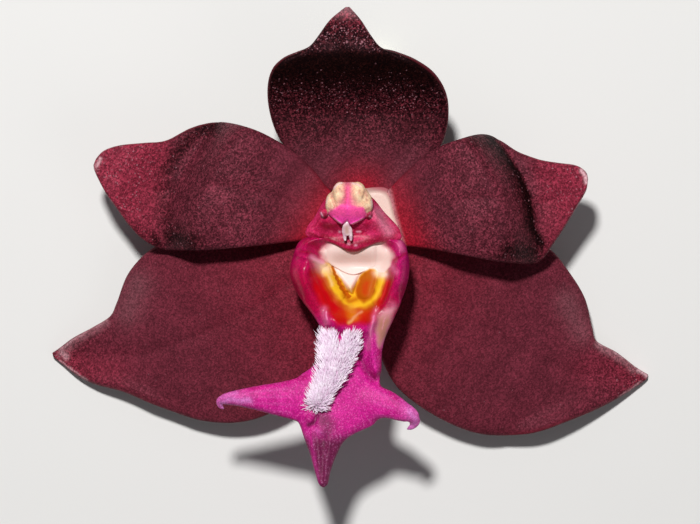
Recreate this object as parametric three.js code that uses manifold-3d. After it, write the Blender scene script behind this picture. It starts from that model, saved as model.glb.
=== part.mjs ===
// One bloom of Trichoglottis philippinensis, picked with its stalk and lying face up.
// Millimetres. +Z points out of the face of the bloom, +Y towards the dorsal sepal.
// The origin is on the surface that the bloom lies on, under the middle of its outline.
// It rests on three low points: the tips of both lateral sepals and the stalk.
import * as THREE from "three";
import { mergeVertices } from "three/addons/utils/BufferGeometryUtils.js";
import Module from "manifold-3d";

const wasm = await Module();
wasm.setup();

// Outlines below are as an eye sees them from EYE_DISTANCE above the plane z = EYE_PLANE.
const EYE_DISTANCE = 320;
const EYE_PLANE = 7;
const EYE_Y = -1.3;

// Gap left between two pieces that touch in life.
const SEAT_GAP = 0.3;
// Share of a length over which a slope is measured.
const SLOPE_STEP = 0.01;
// Corners closer than this are one corner.
const WELD_DISTANCE = 1e-4;

const SEPAL_THICKNESS = 1.0;
const PETAL_THICKNESS = 0.9;
const SEPAL_BASE_HEIGHT = 6.3;
const PETAL_BASE_HEIGHT = 7.9;
const SEPAL_TIP_HEIGHT = 0.12;
// Share of the thickness that is left at a blade's rim.
const RIM_SHARE = 0.55;
const BLADE_ROWS = 22;
const BLADE_COLUMNS = 10;
// How much a blade's columns crowd towards its two edges, from 0 to 1.
const EDGE_CROWDING = 0.35;

// Reliefs rise by the first number between the two distances from the base that follow it.
const DORSAL_SLOPE = 0.04;
const DORSAL_HOOD = [3.4, 6.5, 12.4];
const DORSAL_RECURVE = [-1.5, 12.0, 16.0];
const DORSAL_CUP = [0.016, 4, 9];
const LEFT_PETAL_DOME = [1.3, 3.5, 11];
const RIGHT_PETAL_DOME = [2.3, 3.5, 11];
// The slanting fold of a petal lies this far out, less where it climbs above FOLD_START_Y.
const FOLD_OUT = 15.3;
const FOLD_START_Y = 2;
const FOLD_SLANT = 0.19;
const FOLD_SLANT_POWER = 1.5;
// Distances from the fold.
const PETAL_STEP = [-2.9, -2.4, 0.8];
const PETAL_FLARE = [0.9, 1.5, 6];
const PETAL_ROLL = [-1.0, 8, 12];
const PETAL_ROLL_END = 3;
const SEPAL_FALL_POWER = 1.8;
const SEPAL_BOAT = [0.13, 0.74, 0.94];

// Each station is [x, y] on one edge and [x, y] on the other, from the base to the tip.
const DORSAL_STATIONS = [
  [-1.7, 4.6, 3.1, 4.6],
  [-3.5, 6.0, 5.3, 6.0],
  [-5.1, 7.8, 7.0, 7.6],
  [-6.3, 9.6, 8.0, 9.4],
  [-6.95, 11.6, 8.3, 11.5],
  [-7.1, 13.5, 8.05, 13.2],
  [-6.75, 15.0, 7.1, 14.7],
  [-5.8, 16.0, 5.6, 15.8],
  [-4.5, 16.6, 4.0, 16.5],
  [-3.5, 17.1, 2.6, 16.95],
  [-2.75, 18.0, 1.75, 17.9],
  [-1.9, 19.15, 0.9, 19.15],
  [-0.95, 20.0, 0.2, 20.0],
  [-0.45, 20.4, -0.15, 20.4],
];
const LEFT_PETAL_STATIONS = [
  [-1.5, 4.6, -3.6, 0.7],
  [-2.2, 5.3, -4.4, 0.5],
  [-3.4, 6.8, -5.8, 0.35],
  [-5.6, 8.6, -8.4, 0.05],
  [-8.4, 10.05, -11.2, -0.2],
  [-11.3, 10.6, -13.8, -0.3],
  [-13.6, 10.1, -15.9, -0.2],
  [-15.7, 9.05, -17.5, 0.5],
  [-17.6, 8.85, -18.8, 1.75],
  [-19.6, 8.65, -19.8, 3.1],
  [-20.9, 8.25, -20.8, 4.5],
  [-21.6, 7.6, -21.5, 5.8],
  [-21.9, 6.95, -21.85, 6.6],
];
const RIGHT_PETAL_STATIONS = [
  [3.05, 4.75, 4.35, 0.1],
  [4.9, 6.6, 6.6, -0.15],
  [6.9, 8.2, 9.0, -0.6],
  [9.0, 9.1, 11.4, -1.05],
  [11.0, 9.55, 13.4, -1.35],
  [12.6, 9.1, 15.2, -1.45],
  [14.2, 8.1, 16.3, -1.0],
  [15.9, 7.45, 17.1, 0.1],
  [17.6, 7.15, 18.1, 1.6],
  [19.1, 6.95, 19.2, 3.4],
  [19.95, 6.4, 19.95, 4.7],
  [20.15, 5.75, 20.12, 5.45],
];
const LEFT_SEPAL_STATIONS = [
  [-3.3, 0.3, -0.9, -1.5],
  [-5.2, 1.1, -1.0, -4.0],
  [-8.0, 1.6, -1.6, -7.0],
  [-11.5, 1.5, -2.8, -10.4],
  [-14.5, 0.9, -5.4, -13.3],
  [-17.0, -0.2, -8.8, -14.8],
  [-18.9, -2.2, -12.5, -14.8],
  [-19.9, -4.7, -16.2, -13.6],
  [-20.5, -5.9, -19.3, -12.3],
  [-22.0, -6.9, -21.6, -11.7],
  [-23.7, -7.8, -23.2, -11.0],
  [-24.8, -8.6, -24.5, -9.9],
  [-25.3, -8.95, -25.25, -9.25],
];
const RIGHT_SEPAL_STATIONS = [
  [3.5, 0.3, 0.9, -1.5],
  [5.4, 1.0, 0.9, -4.0],
  [8.2, 1.5, 1.6, -7.0],
  [11.5, 1.3, 2.45, -9.2],
  [14.5, 0.8, 4.0, -12.0],
  [16.9, -0.2, 7.2, -14.4],
  [18.6, -2.2, 11.0, -15.9],
  [19.9, -4.4, 15.0, -15.85],
  [20.5, -6.8, 18.3, -14.8],
  [20.9, -8.0, 20.8, -13.8],
  [22.6, -9.0, 22.8, -12.8],
  [24.2, -10.2, 24.3, -11.8],
  [25.2, -10.8, 25.15, -11.05],
];

// Stalk and ovary: [x, y, z, radius] down from the floral base to the cut end.
const STALK_STATIONS = [
  [0.4, 1.8, 6.4, 2.3],
  [0.4, 2.1, 5.2, 2.0],
  [0.5, 3.4, 3.6, 1.85],
  [0.8, 5.8, 2.25, 1.7],
  [1.2, 8.8, 1.5, 1.55],
  [1.8, 12.4, 1.2, 1.42],
  [2.4, 16.4, 1.15, 1.36],
];
const STALK_ROWS = 20;
const STALK_SIDES = 18;
const STALK_RIBS = 6;
const STALK_RIB_DEPTH = 0.07;
const STALK_HALF_TURNS = 1.6;

// Floral base, where sepals, petals, lip and column join: [z, share of the plan].
const FLORAL_BASE_PLAN = [
  [-3.9, -0.1],
  [-3.2, 2.4],
  [-2.0, 4.4],
  [0.6, 4.9],
  [3.2, 4.9],
  [4.1, 2.6],
  [4.8, 0.1],
  [2.6, -1.0],
  [0.4, -1.3],
  [-2.0, -1.1],
];
const FLORAL_BASE_CENTRE = [0.5, 1.9];
const FLORAL_BASE_RADIUS = 3.5;
const FLORAL_BASE_LEVELS = [
  [4.9, 0.45],
  [5.5, 0.75],
  [6.3, 0.97],
  [7.1, 1.0],
  [7.2, 0.84],
  [8.3, 0.76],
];
const FLORAL_BASE_SIDES = 30;

// Pouch of the lip: its outline seen from the front, and [z, share] levels.
const POUCH_PLAN = [
  [-4.25, 0.6],
  [-4.95, -0.9],
  [-5.2, -2.3],
  [-4.55, -4.0],
  [-3.4, -5.4],
  [-2.5, -6.7],
  [-1.2, -7.5],
  [0.3, -7.8],
  [1.9, -7.6],
  [3.0, -6.8],
  [3.7, -5.5],
  [4.5, -4.0],
  [4.95, -2.2],
  [4.85, -0.7],
  [4.3, 0.6],
  [2.2, 1.1],
  [0.0, 1.2],
  [-2.2, 1.1],
];
const POUCH_LEVELS = [
  [8.6, 0.45, 0.0],
  [9.1, 0.7, 0.0],
  [10.1, 0.9, 0.0],
  [11.3, 1.0, 0.0],
  [12.4, 0.98, 0.0],
  [13.1, 0.88, -0.15],
  [13.5, 0.74, -0.3],
];
const POUCH_CENTRE = [-0.1, -2.9];
const POUCH_SIDES = 36;
// Throat, the hollow of the pouch.
const THROAT_PLAN = [
  [-3.3, 0.1],
  [-2.9, -1.3],
  [-2.3, -2.8],
  [-1.6, -4.3],
  [-0.7, -5.6],
  [0.2, -6.2],
  [1.0, -5.7],
  [1.9, -4.5],
  [2.7, -3.0],
  [3.3, -1.4],
  [3.6, 0.1],
  [2.0, 0.6],
  [0.1, 0.7],
  [-1.8, 0.6],
];
const THROAT_CENTRE = [0.1, -1.4];
const THROAT_LEVELS = [
  [10.9, 0.3],
  [11.05, 0.45],
  [11.5, 0.68],
  [12.2, 0.92],
  [12.9, 1.12],
  [13.8, 1.34],
];
const THROAT_SIDES = 30;

// Straps are [x, y, z, half width, half thickness] from the root to the end.
const STRAP_END_SHARE = 0.45;
const MIDLOBE = [
  [0.1, -5.0, 11.3, 2.4, 1.1],
  [0.2, -6.8, 11.6, 2.5, 1.0],
  [0.1, -8.6, 11.7, 2.3, 0.95],
  [0.0, -10.2, 11.8, 2.6, 0.9],
  [-0.6, -11.8, 11.9, 3.4, 0.9],
  [-1.3, -13.2, 12.0, 3.9, 0.85],
  [-1.9, -14.6, 12.1, 3.1, 0.85],
  [-2.25, -16.0, 12.3, 2.0, 0.8],
  [-2.35, -17.4, 12.5, 1.3, 0.75],
  [-2.4, -19.0, 12.9, 0.75, 0.6],
  [-2.35, -20.35, 13.3, 0.36, 0.4],
];
const LEFT_ARM = [
  [-1.6, -12.8, 12.0, 2.0, 0.7],
  [-3.8, -12.85, 12.2, 2.05, 0.7],
  [-5.8, -12.8, 12.5, 1.45, 0.65],
  [-7.8, -12.85, 12.8, 1.02, 0.6],
  [-9.6, -12.9, 12.9, 0.7, 0.55],
  [-10.8, -12.98, 12.6, 0.5, 0.45],
  [-11.15, -13.2, 12.0, 0.33, 0.33],
  [-10.85, -13.45, 11.6, 0.2, 0.2],
];
const RIGHT_ARM = [
  [-0.6, -13.1, 12.0, 1.7, 0.75],
  [1.2, -13.2, 12.1, 1.75, 0.75],
  [2.9, -13.35, 12.3, 1.3, 0.7],
  [4.3, -13.95, 12.5, 0.95, 0.6],
  [5.2, -14.35, 12.5, 0.68, 0.5],
  [5.4, -14.95, 12.1, 0.42, 0.4],
  [4.9, -15.4, 11.7, 0.24, 0.24],
];
const RIGHT_FLANGE = [
  [3.9, -4.0, 12.5, 0.7, 0.8],
  [3.0, -5.8, 12.6, 0.75, 0.8],
  [2.3, -7.6, 12.5, 0.65, 0.75],
  [2.15, -9.3, 12.3, 0.5, 0.6],
  [2.3, -10.9, 12.1, 0.4, 0.45],
];
const LEFT_FLANGE = [
  [-3.8, -4.0, 12.4, 0.7, 0.8],
  [-2.7, -5.6, 12.4, 0.6, 0.7],
  [-2.1, -7.0, 12.2, 0.45, 0.55],
  [-2.0, -8.4, 12.0, 0.35, 0.4],
];
const FOLD_KEEL = [
  [-2.9, -13.7, 12.4, 0.5, 0.5],
  [-2.6, -15.2, 12.75, 0.45, 0.5],
  [-2.3, -16.8, 13.0, 0.35, 0.45],
  [-2.2, -18.6, 13.2, 0.25, 0.3],
];
// Each strap of the lip with its rows and sides.
const LIP_STRAPS = [
  [MIDLOBE, 20, 14],
  [LEFT_ARM, 14, 10],
  [RIGHT_ARM, 12, 10],
  [RIGHT_FLANGE, 8, 8],
  [LEFT_FLANGE, 7, 8],
  [FOLD_KEEL, 7, 8],
];

// White pad on the lip: two lobes that run together, and its bristles.
const PAD_LEFT = [
  [-1.7, -7.35, 12.9, 0.75, 0.55],
  [-1.75, -8.2, 13.1, 0.95, 0.85],
  [-1.75, -9.4, 13.2, 0.9, 0.9],
  [-2.1, -11.2, 13.2, 0.8, 0.8],
  [-2.7, -12.7, 13.1, 0.65, 0.65],
  [-3.1, -13.7, 12.9, 0.4, 0.4],
];
const PAD_RIGHT = [
  [-0.1, -7.35, 12.9, 0.7, 0.55],
  [-0.1, -8.2, 13.1, 0.85, 0.85],
  [-0.6, -9.4, 13.2, 0.8, 0.9],
  [-1.4, -11.2, 13.2, 0.7, 0.8],
  [-2.3, -12.7, 13.1, 0.55, 0.65],
  [-3.0, -13.7, 12.9, 0.35, 0.4],
];
const PAD_ROWS = 10;
const PAD_SIDES = 10;
const BRISTLE_ROWS = 14;
const BRISTLES_PER_ROW = 6;
const BRISTLE_LENGTH = 1.7;
const BRISTLE_RADIUS = 0.22;
const BRISTLE_ROOT_SHARE = 0.5;
// How far a bristle leans sideways at the pad's edge, towards the throat and forwards.
const BRISTLE_LEAN = [0.75, 0.7, 0.5];

// Yellow callus in the throat: two horns that join in a V, and the white tongue behind it.
const CALLUS_LEFT = [
  [-2.3, -1.8, 12.3, 0.45, 0.45],
  [-1.85, -2.9, 12.3, 0.75, 0.65],
  [-1.2, -4.0, 12.4, 0.85, 0.65],
  [-0.2, -5.2, 12.6, 0.9, 0.6],
];
const CALLUS_RIGHT = [
  [2.5, -2.1, 12.5, 0.5, 0.5],
  [1.9, -3.0, 12.5, 0.95, 0.75],
  [1.3, -4.0, 12.5, 0.95, 0.7],
  [0.3, -5.2, 12.6, 0.9, 0.6],
];
const CALLUS_ROWS = 9;
const CALLUS_SIDES = 10;
// The tongue is a blade that lies in the bowl of the throat.
const TONGUE_STATIONS = [
  [-2.6, 0.9, 3.1, 0.9],
  [-2.5, 0.1, 3.0, 0.1],
  [-2.2, -0.8, 2.7, -0.7],
  [-1.7, -1.45, 2.2, -1.4],
  [-1.0, -1.95, 1.6, -1.9],
  [-0.4, -2.25, 0.9, -2.2],
  [0.1, -2.38, 0.35, -2.38],
];
const TONGUE_THICKNESS = 0.6;
const TONGUE_HEIGHT = 10.95;
const TONGUE_ROWS = 10;
// It curves up to both sides of TONGUE_MIDDLE, and forwards below TONGUE_CLIMB_Y.
const TONGUE_MIDDLE = 0.3;
const TONGUE_CURVE = 0.13;
const TONGUE_CLIMB = 0.32;
const TONGUE_CLIMB_Y = -1.2;
const TONGUE_CLIMB_POWER = 1.4;

// Column: plan points [x, y] at each level.
const COLUMN_LEVELS = [
  {
    z: 8.65,
    plan: [[-3.3, 1.7], [-2.9, 2.8], [-2.3, 3.8], [-1.5, 4.5], [-0.4, 4.8], [0.8, 4.7], [1.8, 4.1],
      [2.7, 3.1], [3.6, 1.8], [2.0, 1.6], [0.1, 1.6], [-1.8, 1.6]],
  },
  {
    z: 11.7,
    plan: [[-3.7, 1.5], [-3.0, 2.7], [-2.4, 3.8], [-1.5, 4.6], [-0.4, 4.9], [0.7, 4.8], [1.8, 4.2],
      [2.8, 3.0], [4.1, 1.4], [2.0, 1.5], [0.1, 1.5], [-1.8, 1.5]],
  },
  {
    z: 12.2,
    plan: [[-3.9, 1.0], [-3.1, 2.5], [-2.4, 3.7], [-1.5, 4.6], [-0.4, 4.9], [0.7, 4.8], [1.9, 4.1],
      [2.9, 2.8], [4.35, 0.75], [2.2, 0.5], [0.1, -0.1], [-1.9, 0.6]],
  },
  {
    z: 12.9,
    plan: [[-3.3, 1.2], [-2.8, 2.4], [-2.2, 3.6], [-1.4, 4.5], [-0.4, 4.8], [0.7, 4.7], [1.8, 3.9],
      [2.6, 2.6], [3.5, 1.1], [2.0, 0.6], [0.1, 0.05], [-1.7, 0.7]],
  },
  {
    z: 13.9,
    plan: [[-2.4, 2.3], [-2.2, 3.0], [-1.8, 3.8], [-1.2, 4.4], [-0.4, 4.6], [0.6, 4.5], [1.4, 3.9],
      [1.9, 3.1], [2.2, 2.3], [1.2, 1.9], [-0.1, 1.7], [-1.4, 1.9]],
  },
];
const COLUMN_SIDES = 30;
const STIGMA_CENTRE = [-0.2, 1.25, 13.6];
const STIGMA_RADII = [1.7, 0.85, 1.1];
// How many faces a ball has around and up.
const STIGMA_FACES = [16, 10];
const STELIDIA = [
  [-2.3, 2.75, 13.5],
  [1.6, 2.7, 13.5],
];
const STELIDIUM_RADIUS = 0.34;
const STELIDIUM_FACES = [8, 6];

const CAP_PLAN = [
  [-0.9, 5.45],
  [0.4, 5.5],
  [1.2, 4.95],
  [1.85, 4.2],
  [1.95, 3.4],
  [1.4, 2.75],
  [0.5, 2.35],
  [-0.2, 1.85],
  [-0.9, 2.35],
  [-1.75, 2.75],
  [-2.3, 3.4],
  [-2.2, 4.1],
  [-1.7, 4.9],
];
const CAP_CENTRE = [-0.15, 3.75];
const CAP_LEVELS = [
  [13.6, 0.86],
  [14.2, 1.0],
  [14.9, 0.96],
  [15.3, 0.78],
  [15.5, 0.5],
];
const CAP_SIDES = 26;
const CAP_LOBE_RADII = [0.85, 1.25, 1.0];
const CAP_LOBE_FACES = [12, 8];
const CAP_LOBE_OFFSET = 0.95;
const CAP_LOBE_PLACE = [-0.1, 4.1, 14.8];
const ROSTELLUM = [
  [-0.3, 2.05, 13.5, 0.22, 0.2],
  [-0.33, 1.55, 13.6, 0.42, 0.3],
  [-0.3, 1.15, 13.65, 0.4, 0.28],
  [-0.28, 0.85, 13.65, 0.3, 0.22],
];
const ROSTELLUM_TEETH = [
  [
    [-0.42, 1.3, 13.65, 0.2, 0.2],
    [-0.52, 0.9, 13.62, 0.17, 0.17],
    [-0.57, 0.5, 13.6, 0.08, 0.08],
  ],
  [
    [-0.18, 1.3, 13.65, 0.2, 0.2],
    [-0.02, 0.9, 13.62, 0.17, 0.17],
    [0.06, 0.52, 13.6, 0.08, 0.08],
  ],
];
const ROSTELLUM_ROWS = 5;
const ROSTELLUM_SIDES = 8;

const smooth = (low, high, value) => THREE.MathUtils.smoothstep(value, low, high);

const rise = ([height, from, to], out) => height * smooth(from, to, out);

// Catmull-Rom through rows of numbers, at share 0 to 1 of the way.
function along(rows, share) {
  const place = THREE.MathUtils.clamp(share, 0, 1) * (rows.length - 1);
  const i = Math.min(Math.floor(place), rows.length - 2);
  const f = place - i;
  const at = (n) => rows[THREE.MathUtils.clamp(n, 0, rows.length - 1)];
  return rows[i].map((start, k) => {
    const before = at(i - 1)[k];
    const end = at(i + 1)[k];
    const after = at(i + 2)[k];
    const cubic = -before + 3 * start - 3 * end + after;
    const square = 2 * before - 5 * start + 4 * end - after;
    return start + 0.5 * f * (end - before + f * (square + f * cubic));
  });
}

// The same through a closed list of plan points.
function ring(plan, count) {
  const closed = [plan[plan.length - 1], ...plan, plan[0], plan[1]];
  const spans = closed.length - 1;
  return Array.from({ length: count }, (_, n) => along(closed, (1 + (n / count) * plan.length) / spans));
}

function geometryOf(points, triangles) {
  const geometry = new THREE.BufferGeometry();
  geometry.setAttribute("position", new THREE.Float32BufferAttribute(points.flat(), 3));
  geometry.setIndex(triangles.flat());
  return geometry;
}

// The direction of a line of stations at a share of its length.
function heading(stations, share) {
  const ahead = along(stations, Math.min(share + SLOPE_STEP, 1));
  const behind = along(stations, Math.max(share - SLOPE_STEP, 0));
  return new THREE.Vector3(...[0, 1, 2].map((k) => ahead[k] - behind[k])).normalize();
}

// A closed skin over rings of [x, y, z] with the same number of points, with a flat lid at each end.
function skin(rings) {
  const sides = rings[0].length;
  const points = rings.flat();
  const triangles = [];
  for (let r = 0; r < rings.length - 1; r++) {
    for (let k = 0; k < sides; k++) {
      const a = r * sides + k;
      const b = r * sides + ((k + 1) % sides);
      triangles.push([a, b, b + sides], [a, b + sides, a + sides]);
    }
  }
  for (const [first, flip] of [[0, true], [(rings.length - 1) * sides, false]]) {
    const middle = points.length;
    const lid = points.slice(first, first + sides);
    points.push([0, 1, 2].map((k) => lid.reduce((sum, p) => sum + p[k], 0) / sides));
    for (let k = 0; k < sides; k++) {
      const a = first + k;
      const b = first + ((k + 1) % sides);
      triangles.push(flip ? [b, a, middle] : [a, b, middle]);
    }
  }
  return geometryOf(points, triangles);
}

// A leaf-like blade: both faces of a grid between two edges, joined round the rim.
function blade(stations, height, thickness, rows = BLADE_ROWS) {
  const middle = (s, t) => {
    const [ax, ay, bx, by] = along(stations, s);
    const share = (t + 1) / 2;
    const x = ax + (bx - ax) * share;
    const y = ay + (by - ay) * share;
    const across = (t * Math.hypot(bx - ax, by - ay)) / 2;
    return new THREE.Vector3(x, y, height(x, y, across, t));
  };
  const face = (s, t, side) => {
    const lengthwise = middle(Math.min(s + SLOPE_STEP, 1), t).sub(middle(Math.max(s - SLOPE_STEP, 0), t));
    const crosswise = middle(s, t + SLOPE_STEP).sub(middle(s, t - SLOPE_STEP));
    const normal = lengthwise.cross(crosswise).normalize();
    if (normal.z < 0) normal.negate();
    const rim = Math.max(Math.abs(t) ** 6, smooth(0.9, 1, s));
    const half = (thickness / 2) * (1 - (1 - RIM_SHARE) * rim);
    const p = middle(s, t).addScaledVector(normal, side * half);
    return [p.x, p.y, Math.max(p.z, 0)];
  };
  const points = [];
  for (const side of [1, -1]) {
    for (let i = 0; i <= rows; i++) {
      for (let j = 0; j <= BLADE_COLUMNS; j++) {
        const even = (2 * j) / BLADE_COLUMNS - 1;
        const crowded = Math.sin((even * Math.PI) / 2);
        points.push(face(i / rows, THREE.MathUtils.lerp(even, crowded, EDGE_CROWDING), side));
      }
    }
  }
  const width = BLADE_COLUMNS + 1;
  const under = width * (rows + 1);
  const triangles = [];
  for (let i = 0; i < rows; i++) {
    for (let j = 0; j < BLADE_COLUMNS; j++) {
      const a = i * width + j;
      const c = a + width;
      triangles.push([a, c, c + 1], [a, c + 1, a + 1]);
      triangles.push([under + a, under + c + 1, under + c], [under + a, under + a + 1, under + c + 1]);
    }
  }
  const rim = [];
  for (let j = 0; j < BLADE_COLUMNS; j++) rim.push(j);
  for (let i = 0; i < rows; i++) rim.push(i * width + BLADE_COLUMNS);
  for (let j = BLADE_COLUMNS; j > 0; j--) rim.push(rows * width + j);
  for (let i = rows; i > 0; i--) rim.push(i * width);
  rim.forEach((a, n) => {
    const b = rim[(n + 1) % rim.length];
    triangles.push([a, b, under + b], [a, under + b, under + a]);
  });
  return geometryOf(points, triangles);
}

// One ring round a centre; radii gives the reach across and up at each angle.
function section(centre, across, up, sides, radii) {
  return Array.from({ length: sides }, (_, k) => {
    const angle = (k / sides) * 2 * Math.PI;
    const [wide, high] = radii(angle);
    const point = new THREE.Vector3(...centre);
    point.addScaledVector(across, Math.cos(angle) * wide);
    return point.addScaledVector(up, Math.sin(angle) * high).toArray();
  });
}

// A rounded strap through [x, y, z, half width, half thickness] stations, its width level.
function strap(stations, rows, sides) {
  const rings = [];
  for (let i = 0; i <= rows; i++) {
    const share = i / rows;
    const [x, y, z, halfWidth, halfThickness] = along(stations, share);
    const forward = heading(stations, share);
    const across = new THREE.Vector3(0, 0, 1).cross(forward).normalize();
    const up = forward.clone().cross(across);
    const size = i === 0 || i === rows ? STRAP_END_SHARE : 1;
    rings.push(section([x, y, z], across, up, sides, () => [halfWidth * size, halfThickness * size]));
  }
  return skin(rings);
}

// Rings of one plan, scaled about a centre at each [z, share, shift in y] level.
function levels(plan, centre, list, count) {
  const [cx, cy] = centre;
  const outline = ring(plan, count);
  return list.map(([z, share, shift = 0]) =>
    outline.map(([x, y]) => [cx + (x - cx) * share, cy + (y - cy) * share + shift, z]));
}

function manifold(position, triVerts) {
  return new wasm.Manifold(new wasm.Mesh({ numProp: 3, vertProperties: position, triVerts }));
}

// The solid of a closed geometry, turned inside out if its faces pointed in.
function solid(geometry) {
  const bare = new THREE.BufferGeometry().setAttribute("position", geometry.getAttribute("position").clone());
  bare.setIndex(geometry.getIndex());
  const merged = mergeVertices(bare, WELD_DISTANCE);
  const position = merged.attributes.position.array;
  const index = Uint32Array.from(merged.index.array);
  const made = manifold(position, index);
  if (made.volume() > 0) return made;
  for (let i = 0; i < index.length; i += 3) index.subarray(i, i + 3).reverse();
  return manifold(position, index);
}

const fuse = (...solids) => solids.reduce((all, next) => all.add(next));

function ball(centre, radii, faces) {
  const geometry = new THREE.SphereGeometry(1, ...faces);
  geometry.deleteAttribute("normal");
  geometry.deleteAttribute("uv");
  return solid(geometry.scale(...radii).translate(...centre));
}

// The room that a piece and the seat gap on all sides of it take up.
function roomOf(piece) {
  const shifts = [0, 1, 2].flatMap((axis) => [-SEAT_GAP, SEAT_GAP].map((gap) => {
    const shift = [0, 0, 0];
    shift[axis] = gap;
    return shift;
  }));
  return fuse(piece, ...shifts.map((shift) => piece.translate(shift)));
}

// What is left of a piece once the room of its neighbours is cut away.
function clearOf(piece, ...neighbours) {
  const left = neighbours.reduce((rest, neighbour) => rest.subtract(roomOf(neighbour)), piece);
  return left.decompose().sort((a, b) => b.volume() - a.volume())[0];
}

function dorsalHeight(x, y, across) {
  const out = y - DORSAL_STATIONS[0][1];
  const cup = across * across * rise(DORSAL_CUP, out);
  return SEPAL_BASE_HEIGHT + DORSAL_SLOPE * out + rise(DORSAL_HOOD, out) + rise(DORSAL_RECURVE, out) + cup;
}

// The petals dome forward, step back at a slanting fold and flare again at the tip.
function petalHeight(dome) {
  return (x, y, across, t) => {
    const out = Math.abs(x);
    const fold = FOLD_OUT - FOLD_SLANT * Math.max(0, y - FOLD_START_Y) ** FOLD_SLANT_POWER;
    const pastFold = out - fold;
    const roll = Math.abs(t) ** 3 * rise(PETAL_ROLL, out) * (1 - smooth(0, PETAL_ROLL_END, pastFold));
    const lobe = rise(PETAL_STEP, pastFold) + rise(PETAL_FLARE, pastFold);
    return PETAL_BASE_HEIGHT + rise(dome, out) + lobe + roll;
  };
}

// The lateral sepals arch down so that their tips, where they are boat-shaped, touch the surface.
function lateralSepalHeight(stations) {
  const [ax, ay, bx, by] = stations[stations.length - 1];
  const reach = Math.hypot((ax + bx) / 2, (ay + by) / 2);
  return (x, y, across) => {
    const out = Math.hypot(x, y) / reach;
    const fall = (SEPAL_BASE_HEIGHT - SEPAL_TIP_HEIGHT) * out ** SEPAL_FALL_POWER;
    return SEPAL_BASE_HEIGHT - fall + across * across * rise(SEPAL_BOAT, out);
  };
}

// The floral base, grown on all sides by a clearance.
function floralBase(clearance) {
  const share = 1 + clearance / FLORAL_BASE_RADIUS;
  const top = FLORAL_BASE_LEVELS.length - 1;
  const grown = FLORAL_BASE_LEVELS.map(([z, s], i) =>
    [z + clearance * ((i === top) - (i === 0)), s * share]);
  return solid(skin(levels(FLORAL_BASE_PLAN, FLORAL_BASE_CENTRE, grown, FLORAL_BASE_SIDES)));
}

function stalkAndOvary() {
  const across = new THREE.Vector3(1, 0, 0);
  const rings = [];
  for (let i = 0; i <= STALK_ROWS; i++) {
    const share = i / STALK_ROWS;
    const [x, y, z, radius] = along(STALK_STATIONS, share);
    const up = across.clone().cross(heading(STALK_STATIONS, share)).normalize();
    const ribbed = (angle) => {
      const turn = STALK_RIBS * angle + STALK_HALF_TURNS * share * Math.PI;
      return Array(2).fill(radius * (1 + STALK_RIB_DEPTH * Math.cos(turn)));
    };
    const ring = section([x, y, z], across, up, STALK_SIDES, ribbed);
    rings.push(ring.map(([px, py, pz]) => [px, py, Math.max(pz, 0)]));
  }
  return fuse(solid(skin(rings)), floralBase(0));
}

function tongueHeight(x, y) {
  const side = TONGUE_CURVE * (x - TONGUE_MIDDLE) ** 2;
  return TONGUE_HEIGHT + side + TONGUE_CLIMB * Math.max(0, TONGUE_CLIMB_Y - y) ** TONGUE_CLIMB_POWER;
}

function lipBody() {
  const pouch = solid(skin(levels(POUCH_PLAN, POUCH_CENTRE, POUCH_LEVELS, POUCH_SIDES)));
  const throat = solid(skin(levels(THROAT_PLAN, THROAT_CENTRE, THROAT_LEVELS, THROAT_SIDES)));
  return fuse(pouch, ...LIP_STRAPS.map((form) => solid(strap(...form)))).subtract(throat);
}

// One bristle: a slim three-sided cone that is combed out and towards the throat.
function bristle(x, y, z, across) {
  const [side, throatward, forward] = BRISTLE_LEAN;
  const direction = new THREE.Vector3(side * across, throatward, forward).normalize();
  const cone = new THREE.ConeGeometry(BRISTLE_RADIUS, BRISTLE_LENGTH, 3);
  cone.deleteAttribute("normal");
  cone.deleteAttribute("uv");
  cone.translate(0, BRISTLE_LENGTH * (0.5 - BRISTLE_ROOT_SHARE / 2), 0);
  cone.applyQuaternion(new THREE.Quaternion().setFromUnitVectors(new THREE.Vector3(0, 1, 0), direction));
  return solid(cone.translate(x, y, z));
}

function hairPad() {
  const pieces = [PAD_LEFT, PAD_RIGHT].map((lobe) => solid(strap(lobe, PAD_ROWS, PAD_SIDES)));
  for (let row = 0; row < BRISTLE_ROWS; row++) {
    const share = (row + 0.5) / BRISTLE_ROWS;
    const [lx, y, z, lw, h] = along(PAD_LEFT, share);
    const [rx, , , rw] = along(PAD_RIGHT, share);
    const low = lx - lw;
    const high = rx + rw;
    for (let n = 0; n < BRISTLES_PER_ROW; n++) {
      const across = ((n + (row % 2 ? 0.75 : 0.25)) / BRISTLES_PER_ROW) * 2 - 1;
      const x = (low + high) / 2 + (across * (high - low)) / 2;
      pieces.push(bristle(x, y, z + h * (0.85 - across * across), across));
    }
  }
  return fuse(...pieces);
}

function columnBody() {
  const rings = COLUMN_LEVELS.map(({ z, plan }) => ring(plan, COLUMN_SIDES).map(([x, y]) => [x, y, z]));
  const stigma = ball(STIGMA_CENTRE, STIGMA_RADII, STIGMA_FACES);
  const stelidia = STELIDIA.map((centre) => ball(centre, Array(3).fill(STELIDIUM_RADIUS), STELIDIUM_FACES));
  return fuse(solid(skin(rings)).subtract(stigma), ...stelidia);
}

function antherCap() {
  const [x, y, z] = CAP_LOBE_PLACE;
  const lobeCentres = [-1, 1].map((side) => [x + side * CAP_LOBE_OFFSET, y, z]);
  const lobes = lobeCentres.map((centre) => ball(centre, CAP_LOBE_RADII, CAP_LOBE_FACES));
  return fuse(solid(skin(levels(CAP_PLAN, CAP_CENTRE, CAP_LEVELS, CAP_SIDES))), ...lobes);
}

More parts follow.
